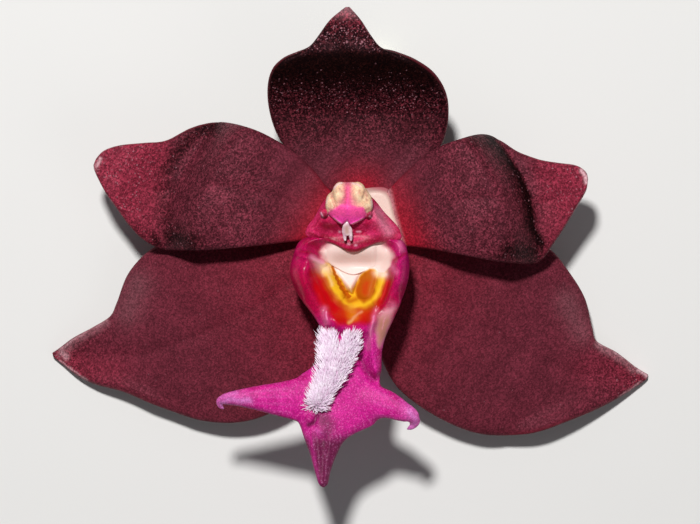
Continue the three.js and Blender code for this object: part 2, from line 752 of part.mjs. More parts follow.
// Every point keeps its height and moves along the sight line of the eye above.
function alongSight(geometry) {
  const position = geometry.getAttribute("position");
  for (let i = 0; i < position.count; i++) {
    const spread = 1 + (EYE_PLANE - position.getZ(i)) / EYE_DISTANCE;
    position.setX(i, position.getX(i) * spread);
    position.setY(i, EYE_Y + (position.getY(i) - EYE_Y) * spread);
  }
  return geometry;
}

const VELVET_MAROON = { color: 0x3d0f1c, roughness: 0.8, metalness: 0 };
const COLOURS = {
  stalk_and_ovary: { color: 0xd9d7a8, roughness: 0.5, metalness: 0 },
  dorsal_sepal: VELVET_MAROON,
  petal_left: VELVET_MAROON,
  petal_right: VELVET_MAROON,
  lateral_sepal_left: VELVET_MAROON,
  lateral_sepal_right: VELVET_MAROON,
  lip: { color: 0xc2287f, roughness: 0.4, metalness: 0 },
  lip_hair_pad: { color: 0xf1dcec, roughness: 0.7, metalness: 0 },
  throat_callus: { color: 0xe89a12, roughness: 0.35, metalness: 0 },
  throat_tongue: { color: 0xf3e3d3, roughness: 0.4, metalness: 0 },
  column: { color: 0xb02a63, roughness: 0.4, metalness: 0 },
  anther_cap: { color: 0xe9d3a0, roughness: 0.4, metalness: 0 },
  rostellum: { color: 0xd8b3b4, roughness: 0.3, metalness: 0 },
};

const straps = (forms, rows, sides) => fuse(...forms.map((stations) => solid(strap(stations, rows, sides))));

const stalk = stalkAndOvary();
const column = clearOf(columnBody(), stalk);
const tongue = clearOf(solid(blade(TONGUE_STATIONS, tongueHeight, TONGUE_THICKNESS, TONGUE_ROWS)), column);
const lip = clearOf(lipBody(), stalk, column, tongue);
const callus = clearOf(straps([CALLUS_LEFT, CALLUS_RIGHT], CALLUS_ROWS, CALLUS_SIDES), lip, tongue);
const cap = clearOf(antherCap(), column);
const beak = straps([ROSTELLUM, ...ROSTELLUM_TEETH], ROSTELLUM_ROWS, ROSTELLUM_SIDES);
const rostellum = clearOf(beak, column, cap);
const pad = clearOf(hairPad(), lip);

const baseRoom = floralBase(SEAT_GAP);
const tepal = (...form) => solid(blade(...form)).subtract(baseRoom);

const SOLIDS = {
  stalk_and_ovary: stalk,
  dorsal_sepal: tepal(DORSAL_STATIONS, dorsalHeight, SEPAL_THICKNESS),
  petal_left: tepal(LEFT_PETAL_STATIONS, petalHeight(LEFT_PETAL_DOME), PETAL_THICKNESS),
  petal_right: tepal(RIGHT_PETAL_STATIONS, petalHeight(RIGHT_PETAL_DOME), PETAL_THICKNESS),
  lateral_sepal_left: tepal(LEFT_SEPAL_STATIONS, lateralSepalHeight(LEFT_SEPAL_STATIONS), SEPAL_THICKNESS),
  lateral_sepal_right: tepal(RIGHT_SEPAL_STATIONS, lateralSepalHeight(RIGHT_SEPAL_STATIONS), SEPAL_THICKNESS),
  lip,
  lip_hair_pad: pad,
  throat_callus: callus,
  throat_tongue: tongue,
  column,
  anther_cap: cap,
  rostellum,
};

const bloom = new THREE.Group();
for (const [name, made] of Object.entries(SOLIDS)) {
  const { vertProperties, triVerts } = made.getMesh();
  const geometry = new THREE.BufferGeometry();
  geometry.setAttribute("position", new THREE.BufferAttribute(new Float32Array(vertProperties), 3));
  geometry.setIndex(new THREE.BufferAttribute(new Uint32Array(triVerts), 1));
  const mesh = new THREE.Mesh(alongSight(geometry), new THREE.MeshStandardMaterial(COLOURS[name]));
  mesh.name = name;
  bloom.add(mesh);
}

export default bloom;
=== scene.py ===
"""The looks of one picked orchid bloom that lies face up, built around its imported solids."""
import math

import bpy
import numpy as np
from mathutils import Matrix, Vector
from mathutils.bvhtree import BVHTree


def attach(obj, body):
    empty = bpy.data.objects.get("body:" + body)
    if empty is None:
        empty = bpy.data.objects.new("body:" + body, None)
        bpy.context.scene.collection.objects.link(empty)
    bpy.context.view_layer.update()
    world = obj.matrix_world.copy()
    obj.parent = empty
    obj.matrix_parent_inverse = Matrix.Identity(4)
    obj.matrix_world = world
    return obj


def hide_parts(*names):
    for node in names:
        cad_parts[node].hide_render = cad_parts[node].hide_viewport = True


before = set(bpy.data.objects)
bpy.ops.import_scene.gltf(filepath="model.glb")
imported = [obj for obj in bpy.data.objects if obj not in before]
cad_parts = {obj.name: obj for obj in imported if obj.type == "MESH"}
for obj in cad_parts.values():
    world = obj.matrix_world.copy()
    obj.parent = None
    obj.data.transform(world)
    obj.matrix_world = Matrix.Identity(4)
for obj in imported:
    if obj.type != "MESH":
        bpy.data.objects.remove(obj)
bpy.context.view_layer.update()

# Shapes are worked out in millimetres, from the middle of the bloom and up from the floor, and are
# written to the meshes in metres. Numbers in the formulas are mostly such places and distances, and
# strengths from 0 to 1.
MM = 0.001

# Outlines are as an eye sees them from EYE_DISTANCE above the plane z = EYE_PLANE.
EYE_DISTANCE = 320
EYE_PLANE = 7
EYE_X = -0.085
EYE_Y = -1.28
IMAGE_WIDTH_PX = 700
MM_PER_PIXEL = 0.085
SENSOR_MM = 36
CLIP_START = 0.01
FLOOR_REACH = 3

SEPAL_THICKNESS = 1
PETAL_THICKNESS = 0.9
SEPAL_BASE_HEIGHT = 6.3
PETAL_BASE_HEIGHT = 7.9
SEPAL_TIP_HEIGHT = 0.12

BLADE_ROWS = 170
BLADE_COLUMNS = 84
EDGE_CROWDING = 0.6
VEIN_WAVES = 26
# How the mean of the velvet's exponential grain grows with the square of its depth.
GRAIN_MEAN = 0.052

# Each station is x, y on one edge and x, y on the other, from the base to the tip.
DORSAL_STATIONS = [
    (-1.7, 4.6, 3.1, 4.6), (-3.5, 6, 5.3, 6), (-5.1, 7.8, 7, 7.6), (-6.3, 9.6, 8, 9.4),
    (-6.95, 11.6, 8.3, 11.5), (-7.1, 13.5, 8.05, 13.2), (-6.75, 15, 7.1, 14.7), (-5.8, 16, 5.6, 15.8),
    (-4.5, 16.6, 4, 16.5), (-3.5, 17.1, 2.6, 16.95), (-2.75, 18, 1.75, 17.9), (-1.9, 19.15, 0.9, 19.15),
    (-0.95, 20, 0.2, 20), (-0.45, 20.4, -0.15, 20.4),
]
LEFT_PETAL_STATIONS = [
    (-1.5, 4.6, -3.6, 0.7), (-2.2, 5.3, -4.4, 0.5), (-3.4, 6.8, -5.8, 0.35), (-5.6, 8.6, -8.4, 0.05),
    (-8.4, 10.05, -11.2, -0.2), (-11.3, 10.6, -13.8, -0.3), (-13.6, 10.1, -15.9, -0.2),
    (-15.7, 9.05, -17.5, 0.5), (-17.6, 8.85, -18.8, 1.75), (-19.6, 8.65, -19.8, 3.1),
    (-20.9, 8.25, -20.8, 4.5), (-21.6, 7.6, -21.5, 5.8), (-21.9, 6.95, -21.85, 6.6),
]
RIGHT_PETAL_STATIONS = [
    (3.05, 4.75, 4.35, 0.1), (4.9, 6.6, 6.6, -0.15), (6.9, 8.2, 9, -0.6), (9, 9.1, 11.4, -1.05),
    (11, 9.55, 13.4, -1.35), (12.6, 9.1, 15.2, -1.45), (14.2, 8.1, 16.3, -1), (15.9, 7.45, 17.1, 0.1),
    (17.6, 7.15, 18.1, 1.6), (19.1, 6.95, 19.2, 3.4), (19.95, 6.4, 19.95, 4.7), (20.15, 5.75, 20.12, 5.45),
]
LEFT_SEPAL_STATIONS = [
    (-3.3, 0.3, -0.9, -1.5), (-5.2, 1.1, -1, -4), (-8, 1.6, -1.6, -7), (-11.5, 1.5, -2.8, -10.4),
    (-14.5, 0.9, -5.4, -13.3), (-17, -0.2, -8.8, -14.8), (-18.9, -2.2, -12.5, -14.8),
    (-19.9, -4.7, -16.2, -13.6), (-20.5, -5.9, -19.3, -12.3), (-22, -6.9, -21.6, -11.7),
    (-23.7, -7.8, -23.2, -11), (-24.8, -8.6, -24.5, -9.9), (-25.3, -8.95, -25.25, -9.25),
]
RIGHT_SEPAL_STATIONS = [
    (3.5, 0.3, 0.9, -1.5), (5.4, 1, 0.9, -4), (8.2, 1.5, 1.6, -7), (11.5, 1.3, 2.45, -9.2),
    (14.5, 0.8, 4, -12), (16.9, -0.2, 7.2, -14.4), (18.6, -2.2, 11, -15.9), (19.9, -4.4, 15, -15.85),
    (20.5, -6.8, 18.3, -14.8), (20.9, -8, 20.8, -13.8), (22.6, -9, 22.8, -12.8), (24.2, -10.2, 24.3, -11.8),
    (25.2, -10.8, 25.15, -11.05),
]
TONGUE_STATIONS = [
    (-3, 0.9, 3.6, 0.9), (-2.9, 0.1, 3.5, 0.1), (-2.5, -0.8, 3.1, -0.7), (-1.8, -1.45, 2.4, -1.4),
    (-1, -1.95, 1.6, -1.9), (-0.4, -2.25, 0.9, -2.2), (0.1, -2.38, 0.35, -2.38),
]
TONGUE_THICKNESS = 0.3

# Stalk: x, y, z, radius from the floral base to the cut end.
STALK_STATIONS = [
    (0.4, 1.8, 6.4, 2.3), (0.4, 2.1, 5.2, 2), (0.5, 3.4, 3.6, 1.85), (0.8, 5.8, 2.25, 1.7),
    (1.2, 8.8, 1.5, 1.55), (1.8, 12.4, 1.2, 1.42), (2.4, 16.4, 1.15, 1.36),
]
STALK_RIBS = 6
STALK_RIB_DEPTH = 0.07
STALK_HALF_TURNS = 1.6

# Plans are closed outlines seen from the front; levels are z, share of the plan and shift in y.
FLORAL_BASE_PLAN = [
    (-3.9, -0.1), (-3.2, 2.4), (-2, 4.4), (0.6, 4.9), (3.2, 4.9), (4.1, 2.6), (4.8, 0.1), (2.6, -1),
    (0.4, -1.3), (-2, -1.1),
]
FLORAL_BASE_CENTRE = (0.5, 1.9)
FLORAL_BASE_LEVELS = [
    (4.9, 0.45, 0), (5.5, 0.75, 0), (6.3, 0.97, 0), (7.1, 1, 0), (7.6, 0.96, 0), (8.1, 0.91, 0),
    (8.4, 0.86, 0),
]
POUCH_PLAN = [
    (-4.25, 0.6), (-4.95, -0.9), (-5.2, -2.3), (-4.55, -4), (-3.4, -5.4), (-2.5, -6.7), (-1.2, -7.5),
    (0.3, -7.8), (1.9, -7.6), (3, -6.8), (3.7, -5.5), (4.5, -4), (4.95, -2.2), (4.85, -0.7), (4.3, 0.6),
    (2.2, 1.1), (0, 1.2), (-2.2, 1.1),
]
POUCH_CENTRE = (-0.1, -2.9)
POUCH_LEVELS = [
    (8.6, 0.45, 0), (9.1, 0.7, 0), (10.1, 0.9, 0), (11.3, 1, 0), (12.4, 0.98, 0), (13.1, 0.88, -0.15),
    (13.5, 0.74, -0.3),
]
THROAT_PLAN = [
    (-3.3, 0.1), (-2.9, -1.3), (-2.3, -2.8), (-1.6, -4.3), (-0.7, -5.6), (0.2, -6.2), (1, -5.7), (1.9, -4.5),
    (2.7, -3), (3.3, -1.4), (3.6, 0.1), (2, 0.6), (0.1, 0.7), (-1.8, 0.6),
]
THROAT_CENTRE = (0.1, -1.4)
THROAT_LEVELS = [
    (10.9, 0.3, 0), (11.05, 0.45, 0), (11.5, 0.68, 0), (12.2, 0.92, 0), (12.9, 1.12, 0), (13.8, 1.34, 0),
]

# Straps are x, y, z, half width, half thickness from the root to the end.
MIDLOBE = [
    (0.1, -5, 11.3, 2.4, 1.1), (0.2, -6.8, 11.6, 2.5, 1), (0.1, -8.6, 11.7, 2.3, 0.95),
    (0, -10.2, 11.8, 2.6, 0.9), (-0.6, -11.8, 11.9, 3.4, 0.9), (-1.3, -13.2, 12, 3.9, 0.85),
    (-1.9, -14.6, 12.1, 3.1, 0.85), (-2.25, -16, 12.3, 2, 0.8), (-2.35, -17.4, 12.5, 1.3, 0.75),
    (-2.4, -19, 12.9, 0.75, 0.6), (-2.32, -20.55, 13.3, 0.4, 0.4),
]
LEFT_ARM = [
    (-1.6, -12.8, 12, 2, 0.7), (-3.8, -12.95, 12.2, 2.05, 0.7), (-5.8, -12.95, 12.5, 1.6, 0.65),
    (-7.8, -12.85, 12.8, 1.15, 0.6), (-9.6, -12.83, 12.9, 0.75, 0.55), (-10.8, -12.95, 12.6, 0.5, 0.45),
    (-11.1, -13.2, 12, 0.33, 0.33), (-10.85, -13.45, 11.6, 0.2, 0.2),
]
RIGHT_ARM = [
    (-0.6, -13.1, 12, 1.7, 0.75), (1.2, -13.2, 12.1, 1.75, 0.75), (2.9, -13.35, 12.3, 1.3, 0.7),
    (4.3, -13.95, 12.5, 0.95, 0.6), (5.2, -14.35, 12.5, 0.68, 0.5), (5.4, -14.95, 12.1, 0.42, 0.4),
    (4.9, -15.4, 11.7, 0.24, 0.24),
]
RIGHT_FLANGE = [
    (3.9, -4, 12.5, 0.7, 0.8), (3, -5.8, 12.6, 0.75, 0.8), (2.3, -7.6, 12.5, 0.65, 0.75),
    (2.15, -9.3, 12.3, 0.5, 0.6), (2.3, -10.9, 12.1, 0.4, 0.45),
]
LEFT_FLANGE = [
    (-3.8, -4, 12.4, 0.7, 0.8), (-2.7, -5.6, 12.4, 0.6, 0.7), (-2.1, -7, 12.2, 0.45, 0.55),
    (-2, -8.4, 12, 0.35, 0.4),
]
FOLD_KEEL = [
    (-2.9, -13.7, 12.35, 0.6, 0.5), (-2.6, -15.2, 12.6, 0.55, 0.5), (-2.3, -16.8, 12.85, 0.45, 0.45),
    (-2.2, -18.6, 13.1, 0.3, 0.3),
]
# Small hooks at the ends of both arms.
CLAWS = [
    [(-10.7, -12.9, 12.6, 0.42, 0.36), (-11.12, -13.1, 12.4, 0.33, 0.3), (-11.1, -13.5, 12.15, 0.22, 0.2),
     (-10.8, -13.75, 12, 0.08, 0.08)],
    [(5.2, -14.35, 12.45, 0.5, 0.4), (5.5, -14.8, 12.2, 0.38, 0.32), (5.2, -15.25, 12, 0.26, 0.22),
     (4.75, -15.5, 11.9, 0.09, 0.09)],
]
PAD_LEFT = [
    (-1.9, -7.3, 12.9, 0.62, 0.55), (-1.85, -8.2, 13.1, 0.85, 0.85), (-1.75, -9.4, 13.2, 0.9, 0.9),
    (-2.1, -11.2, 13.2, 0.8, 0.8), (-2.7, -12.7, 13.1, 0.65, 0.65), (-3.1, -13.7, 12.9, 0.4, 0.4),
]
PAD_RIGHT = [
    (-0.02, -7.3, 12.9, 0.56, 0.55), (-0.1, -8.2, 13.1, 0.78, 0.85), (-0.6, -9.4, 13.2, 0.8, 0.9),
    (-1.4, -11.2, 13.2, 0.7, 0.8), (-2.3, -12.7, 13.1, 0.55, 0.65), (-3, -13.7, 12.9, 0.35, 0.4),
]
# The column's plans from its root to its top, each after its z.
COLUMN_PLANS = [
    (8.65, [
        (-3.3, 1.7), (-2.9, 2.8), (-2.3, 3.8), (-1.5, 4.5), (-0.4, 4.8), (0.8, 4.7), (1.8, 4.1), (2.7, 3.1),
        (3.6, 1.8), (2, 1.6), (0.1, 1.6), (-1.8, 1.6)]),
    (11.7, [
        (-3.7, 1.5), (-3, 2.7), (-2.4, 3.8), (-1.5, 4.6), (-0.4, 4.9), (0.7, 4.8), (1.8, 4.2), (2.8, 3),
        (4.1, 1.4), (2, 1.5), (0.1, 1.5), (-1.8, 1.5)]),
    (12.2, [
        (-3.9, 1), (-3.1, 2.5), (-2.4, 3.7), (-1.5, 4.6), (-0.4, 4.9), (0.7, 4.8), (1.9, 4.1), (2.9, 2.8),
        (4.35, 0.75), (2.2, 0.38), (0.1, -0.32), (-1.9, 0.45)]),
    (12.9, [
        (-3.3, 1.2), (-2.8, 2.4), (-2.2, 3.6), (-1.4, 4.5), (-0.4, 4.8), (0.7, 4.7), (1.8, 3.9), (2.6, 2.6),
        (3.5, 1.1), (2, 0.5), (0.1, -0.15), (-1.7, 0.6)]),
    (13.9, [
        (-2.4, 2.3), (-2.2, 3), (-1.8, 3.8), (-1.2, 4.4), (-0.4, 4.6), (0.6, 4.5), (1.4, 3.9), (1.9, 3.1),
        (2.2, 2.3), (1.2, 1.9), (-0.1, 1.7), (-1.4, 1.9)]),
]
STIGMA_CENTRE = (-0.2, 1.35)
STIGMA_RADII = (2.3, 0.85)
STIGMA_DEPTH = 0.75
STELIDIA = [(-2.3, 2.88, 14.1), (1.45, 2.82, 14.1)]
STELIDIUM_RADII = (0.36, 0.38, 0.5)
COLUMN_LOWER_LIP = [
    (-3.5, 1.1), (-2.5, 0.8), (-1.5, 0.4), (-0.5, -0.1), (0.3, -0.2), (1.2, 0.05), (2, 0.4), (2.7, 0.6),
    (3.3, 0.95),
]
# Soft strokes, in this and the later tables: how strong, a line of x, y points, and its half width
# or the half widths on its left and right.
# Dark crimson, partly the column's own tone and partly painted shade in the stigma's hollows and under the
# lower lip.
COLUMN_DEEP = [
    (0.7, [(-2.2, 1.7), (-1.4, 1.4), (-0.8, 1.3)], 0.5), (0.5, [(0.5, 1.3), (1.1, 1.5)], 0.45),
    (0.9, [(-3.55, 1.2), (-2.8, 0.85), (-1.7, 0.7)], 0.13),
    (0.9, [(-1.6, 0.3), (-0.7, -0.18), (0.2, -0.33)], 0.15),
    (0.9, [(0.2, -0.33), (1.3, -0.1), (2.2, 0.25)], 0.15), (0.5, [(1.4, 0.9), (3.2, 0.95)], 0.12),
    (0.8, [(-2.35, 2.8), (-2.25, 2.7)], 0.3), (0.8, [(1.45, 2.8), (1.5, 2.7)], 0.3),
    (0.85, [(-2.4, 0.95), (-1.4, 0.6), (0.2, 0.2), (1.6, 0.5), (2.6, 0.75)], 0.28),
]
# Painted glints and highlights on the column, its lower lip and its teeth.
COLUMN_PALE = [
    (0.35, [(2.3, 3), (2.8, 1.9), (3.2, 1.3)], 0.5), (0.5, [(-0.25, 0.25), (-0.15, 0.22)], 0.09),
    (0.6, [(0.35, 0.14), (0.45, 0.14)], 0.09), (0.7, [(-0.97, 1.3), (-0.97, 1.27)], 0.09),
    (0.6, [(0.5, 1.3), (0.8, 1.3)], 0.08), (0.8, [(-2.55, 2.9), (-2.4, 2.55)], 0.07),
    (0.9, [(1.1, 2.95), (1.2, 2.7)], 0.09), (0.9, [(-1.95, 3), (-1.9, 2.7)], 0.08),
    (0.8, [(1.6, 2.6), (1.72, 2.5)], 0.08),
]
CAP_PLAN = [
    (-0.95, 5.42), (-0.3, 5.5), (0.5, 5.45), (1.08, 5.12), (1.5, 4.6), (1.8, 4), (1.82, 3.3), (1.45, 2.75),
    (1, 2.35), (0.05, 1.88), (-0.33, 2.2), (-0.8, 1.92), (-1.5, 2.4), (-2, 2.9), (-2.16, 3.6), (-1.95, 4.25),
    (-1.6, 4.7), (-1.42, 5.15),
]
CAP_CENTRE = (-0.15, 3.75)
CAP_LEVELS = [(13.5, 0.86, 0), (14, 1, 0), (14.6, 0.98, 0), (15, 0.82, 0), (15.2, 0.5, 0)]
CAP_MIDDLE_X = -0.28
# The front of the cap slopes down from y to y, to this share of its height over CAP_FOOT.
CAP_SLOPE = (3.6, 1.7)
CAP_SLOPE_SHARE = 0.5
CAP_FOOT = 13.5
CAP_RELIEF = [
    (-0.2, [(-1.62, 4.75), (-1.6, 4.3), (-1.4, 3.7), (-1.3, 3.4)], 0.14),
    (-0.08, [(1.2, 4.6), (1, 4.1)], 0.14), (-0.12, [(-0.28, 5.6), (-0.28, 3.6)], 0.2),
    (0.1, [(-1.5, 2.5), (-0.82, 1.98)], 0.1), (0.1, [(0.05, 1.95), (1, 2.4)], 0.1),
]
# Brownish marks on the cap; those in the notches between its lobes stand for painted shade.
CAP_SMUDGES = [
    (0.75, [(-1.65, 4.5), (-1.62, 4.2)], 0.16), (0.45, [(-1.5, 3.9), (-1.4, 3.4)], 0.14),
    (0.5, [(0.75, 4.75), (0.7, 4.6)], 0.12), (0.6, [(1.2, 4.7), (1.35, 4.35)], 0.16),
    (0.5, [(0.95, 4.3), (1, 4.15)], 0.09), (0.55, [(1.3, 4.1), (1.35, 3.95)], 0.09),
    (0.55, [(-0.95, 4.95), (-0.8, 4.7)], 0.13), (0.35, [(-1.35, 5), (-1.2, 4.7)], 0.12),
    (0.6, [(1.5, 3.3), (1.2, 3.1)], 0.12), (0.4, [(-1.9, 3.3), (-1.7, 3.1)], 0.12),
]
# Painted highlights along the cap's rims and the edges of its lower notch.
CAP_LIGHTS = [
    (0.8, [(-1.5, 4.95), (-1.2, 5.3), (-0.8, 5.45)], 0.07),
    (0.6, [(0.1, 5.42), (0.6, 5.3), (0.85, 5.1)], 0.07), (0.7, [(1.75, 4), (1.8, 3.4)], 0.06),
    (0.6, [(-1.95, 4.2), (-2.12, 3.7)], 0.06), (0.7, [(-1.5, 2.46), (-1.1, 2.15), (-0.85, 1.98)], 0.06),
    (0.7, [(0.1, 1.95), (0.6, 2.15), (1, 2.4)], 0.06),
]
CAP_ROSE = [
    (-1.75, 3.2), (-1.3, 3.4), (-0.6, 3.6), (0, 3.65), (0.5, 3.35), (1, 3.45), (1.2, 3.1), (1.6, 2.6), (1, 2),
    (0, 1.5), (-0.8, 1.5), (-1.7, 2.2), (-2.1, 2.8),
]
CAP_LOBES = [(-0.9, 4.4, 14.4), (0.55, 4.4, 14.4), (-1.5, 3.8, 14.1), (1.15, 3.8, 14.2)]
CAP_LOBE_RADII = [(0.72, 1.15, 1.05), (0.78, 1.15, 1.05), (0.66, 0.9, 0.85), (0.68, 0.95, 0.9)]
ROSTELLUM = [
    (-0.325, 2.24, 14, 0.03, 0.05), (-0.35, 1.98, 13.9, 0.2, 0.14), (-0.38, 1.75, 13.8, 0.34, 0.2),
    (-0.33, 1.35, 13.7, 0.46, 0.24), (-0.28, 1.05, 13.66, 0.36, 0.24), (-0.26, 0.95, 13.65, 0.2, 0.2),
]
ROSTELLUM_TEETH = [
    [(-0.48, 1.35, 13.68, 0.22, 0.2), (-0.54, 0.95, 13.66, 0.17, 0.17), (-0.49, 0.5, 13.62, 0.1, 0.09)],
    [(-0.12, 1.35, 13.68, 0.22, 0.2), (-0.03, 0.95, 13.66, 0.17, 0.17), (0.01, 0.5, 13.62, 0.09, 0.08)],
]
ROSTELLUM_CORE = [(-0.38, 1.65), (-0.34, 1.25)]
ROSTELLUM_GLINTS = [(1, [(-0.49, 0.55), (-0.5, 0.62)], 0.07), (0.5, [(-0.33, 2.15), (-0.34, 2)], 0.1)]

HAIR_COUNT = 3200
HAIR_SEED = 7
HAIR_RADIUS = 0.048
HAIR_LENGTHS = (0.5, 0.9)
HAIR_ROOT = 0.12
HAIR_SPREAD = 0.9
HAIR_SCATTER = 0.12
# The two tufts at the pad's top join this far along it.
TUFT_SHARE = 0.3
PARTING_WIDTH = 0.36
# From here along the pad its hairs turn down.
PAD_LOW_END = 0.82


# Curves and fields

def along(rows, share):
    """Catmull-Rom through rows of numbers, at shares 0 to 1 of the way."""
    rows = np.asarray(rows, float)
    last = len(rows) - 1
    place = np.clip(share, 0, 1) * last
    i = np.minimum(place.astype(int), last - 1)
    part = (place - i)[:, None]
    before, start = rows[np.maximum(i - 1, 0)], rows[i]
    end, after = rows[i + 1], rows[np.minimum(i + 2, last)]
    cubic = -before + 3 * start - 3 * end + after
    square = 2 * before - 5 * start + 4 * end - after
    return start + 0.5 * part * (end - before + part * (square + part * cubic))


def ring(plan, count):
    """The same through a closed list of plan points."""
    closed = [plan[-1], *plan, plan[0], plan[1]]
    return along(closed, (1 + np.arange(count) / count * len(plan)) / (len(closed) - 1))


def unit(vectors):
    return vectors / np.linalg.norm(vectors, axis=-1, keepdims=True)


def turn(sides):
    """Angles of a full turn."""
    return np.arange(sides) / sides * 2 * math.pi


def run(stations, rows):
    """The shares, stations and directions at even steps along a run of stations."""
    share = np.linspace(0, 1, rows + 1)
    ahead = along(stations, share + 0.01) - along(stations, share - 0.01)
    return share, along(stations, share), unit(ahead[:, :3])


def smooth(low, high, value):
    """A soft step from 0 at low to 1 at high."""
    part = np.clip((value - low) / (high - low), 0, 1)
    return part * part * (3 - 2 * part)


def bell(value, width):
    return np.exp(-(value / width) ** 2)


def distance_to(points, line):
    """How far each x, y of points lies from a broken line of x, y points."""
    flat = points[:, :2]
    line = np.asarray(line, float)
    best = np.full(len(flat), np.inf)
    for start, end in zip(line[:-1], line[1:]):
        ahead = end - start
        part = np.clip(((flat - start) @ ahead) / max(ahead @ ahead, 1e-9), 0, 1)
        best = np.minimum(best, np.linalg.norm(flat - (start + part[:, None] * ahead), axis=1))
    return best


def band(points, line, width, right=None, power=2):
    """1 on a line, fading to 0 over about the width, which may differ on its right side."""
    if right is not None:
        xs, ys = zip(*sorted(line, key=lambda corner: corner[1]))
        width = np.where(points[:, 0] < np.interp(points[:, 1], ys, xs), width, right)
    return np.exp(-(distance_to(points, line) / width) ** power)


def strokes(points, table):
    """The strongest of several soft strokes."""
    return np.max([strength * band(points, *form) for strength, *form in table], axis=0)


def relief(points, table):
    """The heights of several soft ridges and furrows, added up."""
    return sum(height * band(points, *form) for height, *form in table)


def depth_in(points, outline):
    """How far each x, y of points lies inside a closed outline, negative outside."""
    x, y = points[:, :2].T
    inside = np.zeros(len(points), bool)
    closed = [*outline, outline[0]]
    for (ax, ay), (bx, by) in zip(closed, closed[1:]):
        inside ^= ((ay > y) != (by > y)) & (x < ax + (y - ay) * (bx - ax) / (by - ay or 1e-9))
    gap = distance_to(points, closed)
    return np.where(inside, gap, -gap)


def within(points, outline, soft):
    """1 inside a closed outline, 0 outside, over a soft border."""
    return smooth(-soft, soft, depth_in(points, outline))


def wavering(points, amount):
    """The points moved a little to and fro, for outlines that waver as grown ones do."""
    x, y = points[:, :2].T
    aside = np.sin(5.3 * y + 1) + 0.6 * np.sin(12.1 * x + 3.3 * y)
    upward = np.sin(4.7 * x + 2) + 0.6 * np.sin(10.7 * y - 4 * x)
    return points + amount * np.column_stack([aside, upward, 0 * x])


def along_sight(points):
    """Keeps heights and moves each point along the sight line of the eye above."""
    spread = 1 + (EYE_PLANE - points[:, 2:]) / EYE_DISTANCE
    eye = (0, EYE_Y)
    return np.hstack([eye + (points[:, :2] - eye) * spread, points[:, 2:]])


# Meshes

def put_in_scene(name, data):
    obj = bpy.data.objects.new(name, data)
    bpy.context.scene.collection.objects.link(obj)
    return obj


def new_object(name, points, faces):
    mesh = bpy.data.meshes.new(name)
    mesh.from_pydata(points.tolist(), [], [list(face) for face in faces])
    mesh.update()
    return put_in_scene(name, mesh)


def joined(name, parts):
    """One object in millimetres from several points and faces."""
    faces, base = [], 0
    for part_points, part_faces in parts:
        faces += [[i + base for i in face] for face in part_faces]
        base += len(part_points)
    return new_object(name, np.concatenate([points for points, _ in parts]), faces)


def read(values, key):
    flat = np.empty(len(values) * 3, np.float32)
    values.foreach_get(key, flat)
    return flat.reshape(-1, 3).astype(float)


def points_of(obj):
    return read(obj.data.vertices, "co")


def set_points(obj, points):
    obj.data.vertices.foreach_set("co", points.astype(np.float32).ravel())
    obj.data.update()


def grid_faces(grid):
    """Faces between the neighbours in a grid of point numbers."""
    return np.stack([grid[:-1, :-1], grid[1:, :-1], grid[1:, 1:], grid[:-1, 1:]], -1).reshape(-1, 4)


def compact(faces):
    """The points that the faces use, and the faces with these points' new numbers."""
    used, faces = np.unique(faces, return_inverse=True)
    return used, faces.reshape(-1, 4)


def lift(obj, points, amount):
    """Raises only what faces the eye."""
    points[:, 2] += amount * smooth(0.1, 0.6, read(obj.data.vertex_normals, "vector")[:, 2])
    set_points(obj, points)
    return points


def skin(rings):
    """Closed skin over rings with the same number of points, with a flat lid at each end."""
    count, sides = len(rings), len(rings[0])
    points = np.concatenate([*rings, [rings[0].mean(0), rings[-1].mean(0)]])
    this = np.arange(sides)
    following = (this + 1) % sides
    quads = np.stack([this, following, following + sides, this + sides], 1)
    faces = [quad for row in range(count - 1) for quad in (quads + row * sides).tolist()]
    end = 0 * this + count * sides
    faces += np.stack([following, this, end], 1).tolist()
    faces += np.stack([this + end - sides, following + end - sides, end + 1], 1).tolist()
    return points, faces


def strap(stations, rows=60, sides=28):
    """A rounded strap through x, y, z, half width, half thickness, its width level."""
    share, place, forward = run(stations, rows)
    across = unit(np.cross((0, 0, 1), forward))
    up = np.cross(forward, across)
    cos, sin = np.cos(turn(sides))[:, None], np.sin(turn(sides))[:, None]
    size = np.sqrt(np.clip(np.minimum(share, 1 - share) * rows / 4 + 0.02, 0, 1))
    rings = []
    for station, aside, upward, taper in zip(place, across, up, size):
        rings.append(station[:3] + cos * aside * station[3] * taper + sin * upward * station[4] * taper)
    return skin(rings)


def stacked(plan, centre, levels, count=120, steps=5):
    """A skin over one plan, scaled about its centre and moved in y level by level."""
    offset = ring(plan, count) - centre
    rings = []
    for z, size, shift in along(levels, np.linspace(0, 1, (len(levels) - 1) * steps + 1)):
        flat = centre + offset * size + (0, shift)
        rings.append(np.column_stack([flat, np.full(count, z)]))
    return skin(rings)


def ball(centre, radii, around=40, up=24):
    cos, sin = np.cos(turn(around)), np.sin(turn(around))
    rings = []
    for v in np.linspace(-1, 1, up)[1:-1] * math.pi / 2:
        ring_points = np.column_stack([cos * math.cos(v), sin * math.cos(v), np.full(around, math.sin(v))])
        rings.append(ring_points * radii + centre)
    return skin(rings)


def modify(obj, kind, **settings):
    """Adds one modifier and applies it."""
    modifier = obj.modifiers.new(kind, kind)
    for name, value in settings.items():
        setattr(modifier, name, value)
    graph = bpy.context.evaluated_depsgraph_get()
    mesh = bpy.data.meshes.new_from_object(obj.evaluated_get(graph))
    obj.modifiers.clear()
    old = obj.data
    obj.data = mesh
    bpy.data.meshes.remove(old)
    mesh.name = obj.name


def melt(obj, voxel, smoothing):
    """Melts overlapping forms together with small fillets."""
    modify(obj, "REMESH", mode="VOXEL", voxel_size=voxel)
    modify(obj, "SMOOTH", factor=0.5, iterations=smoothing)


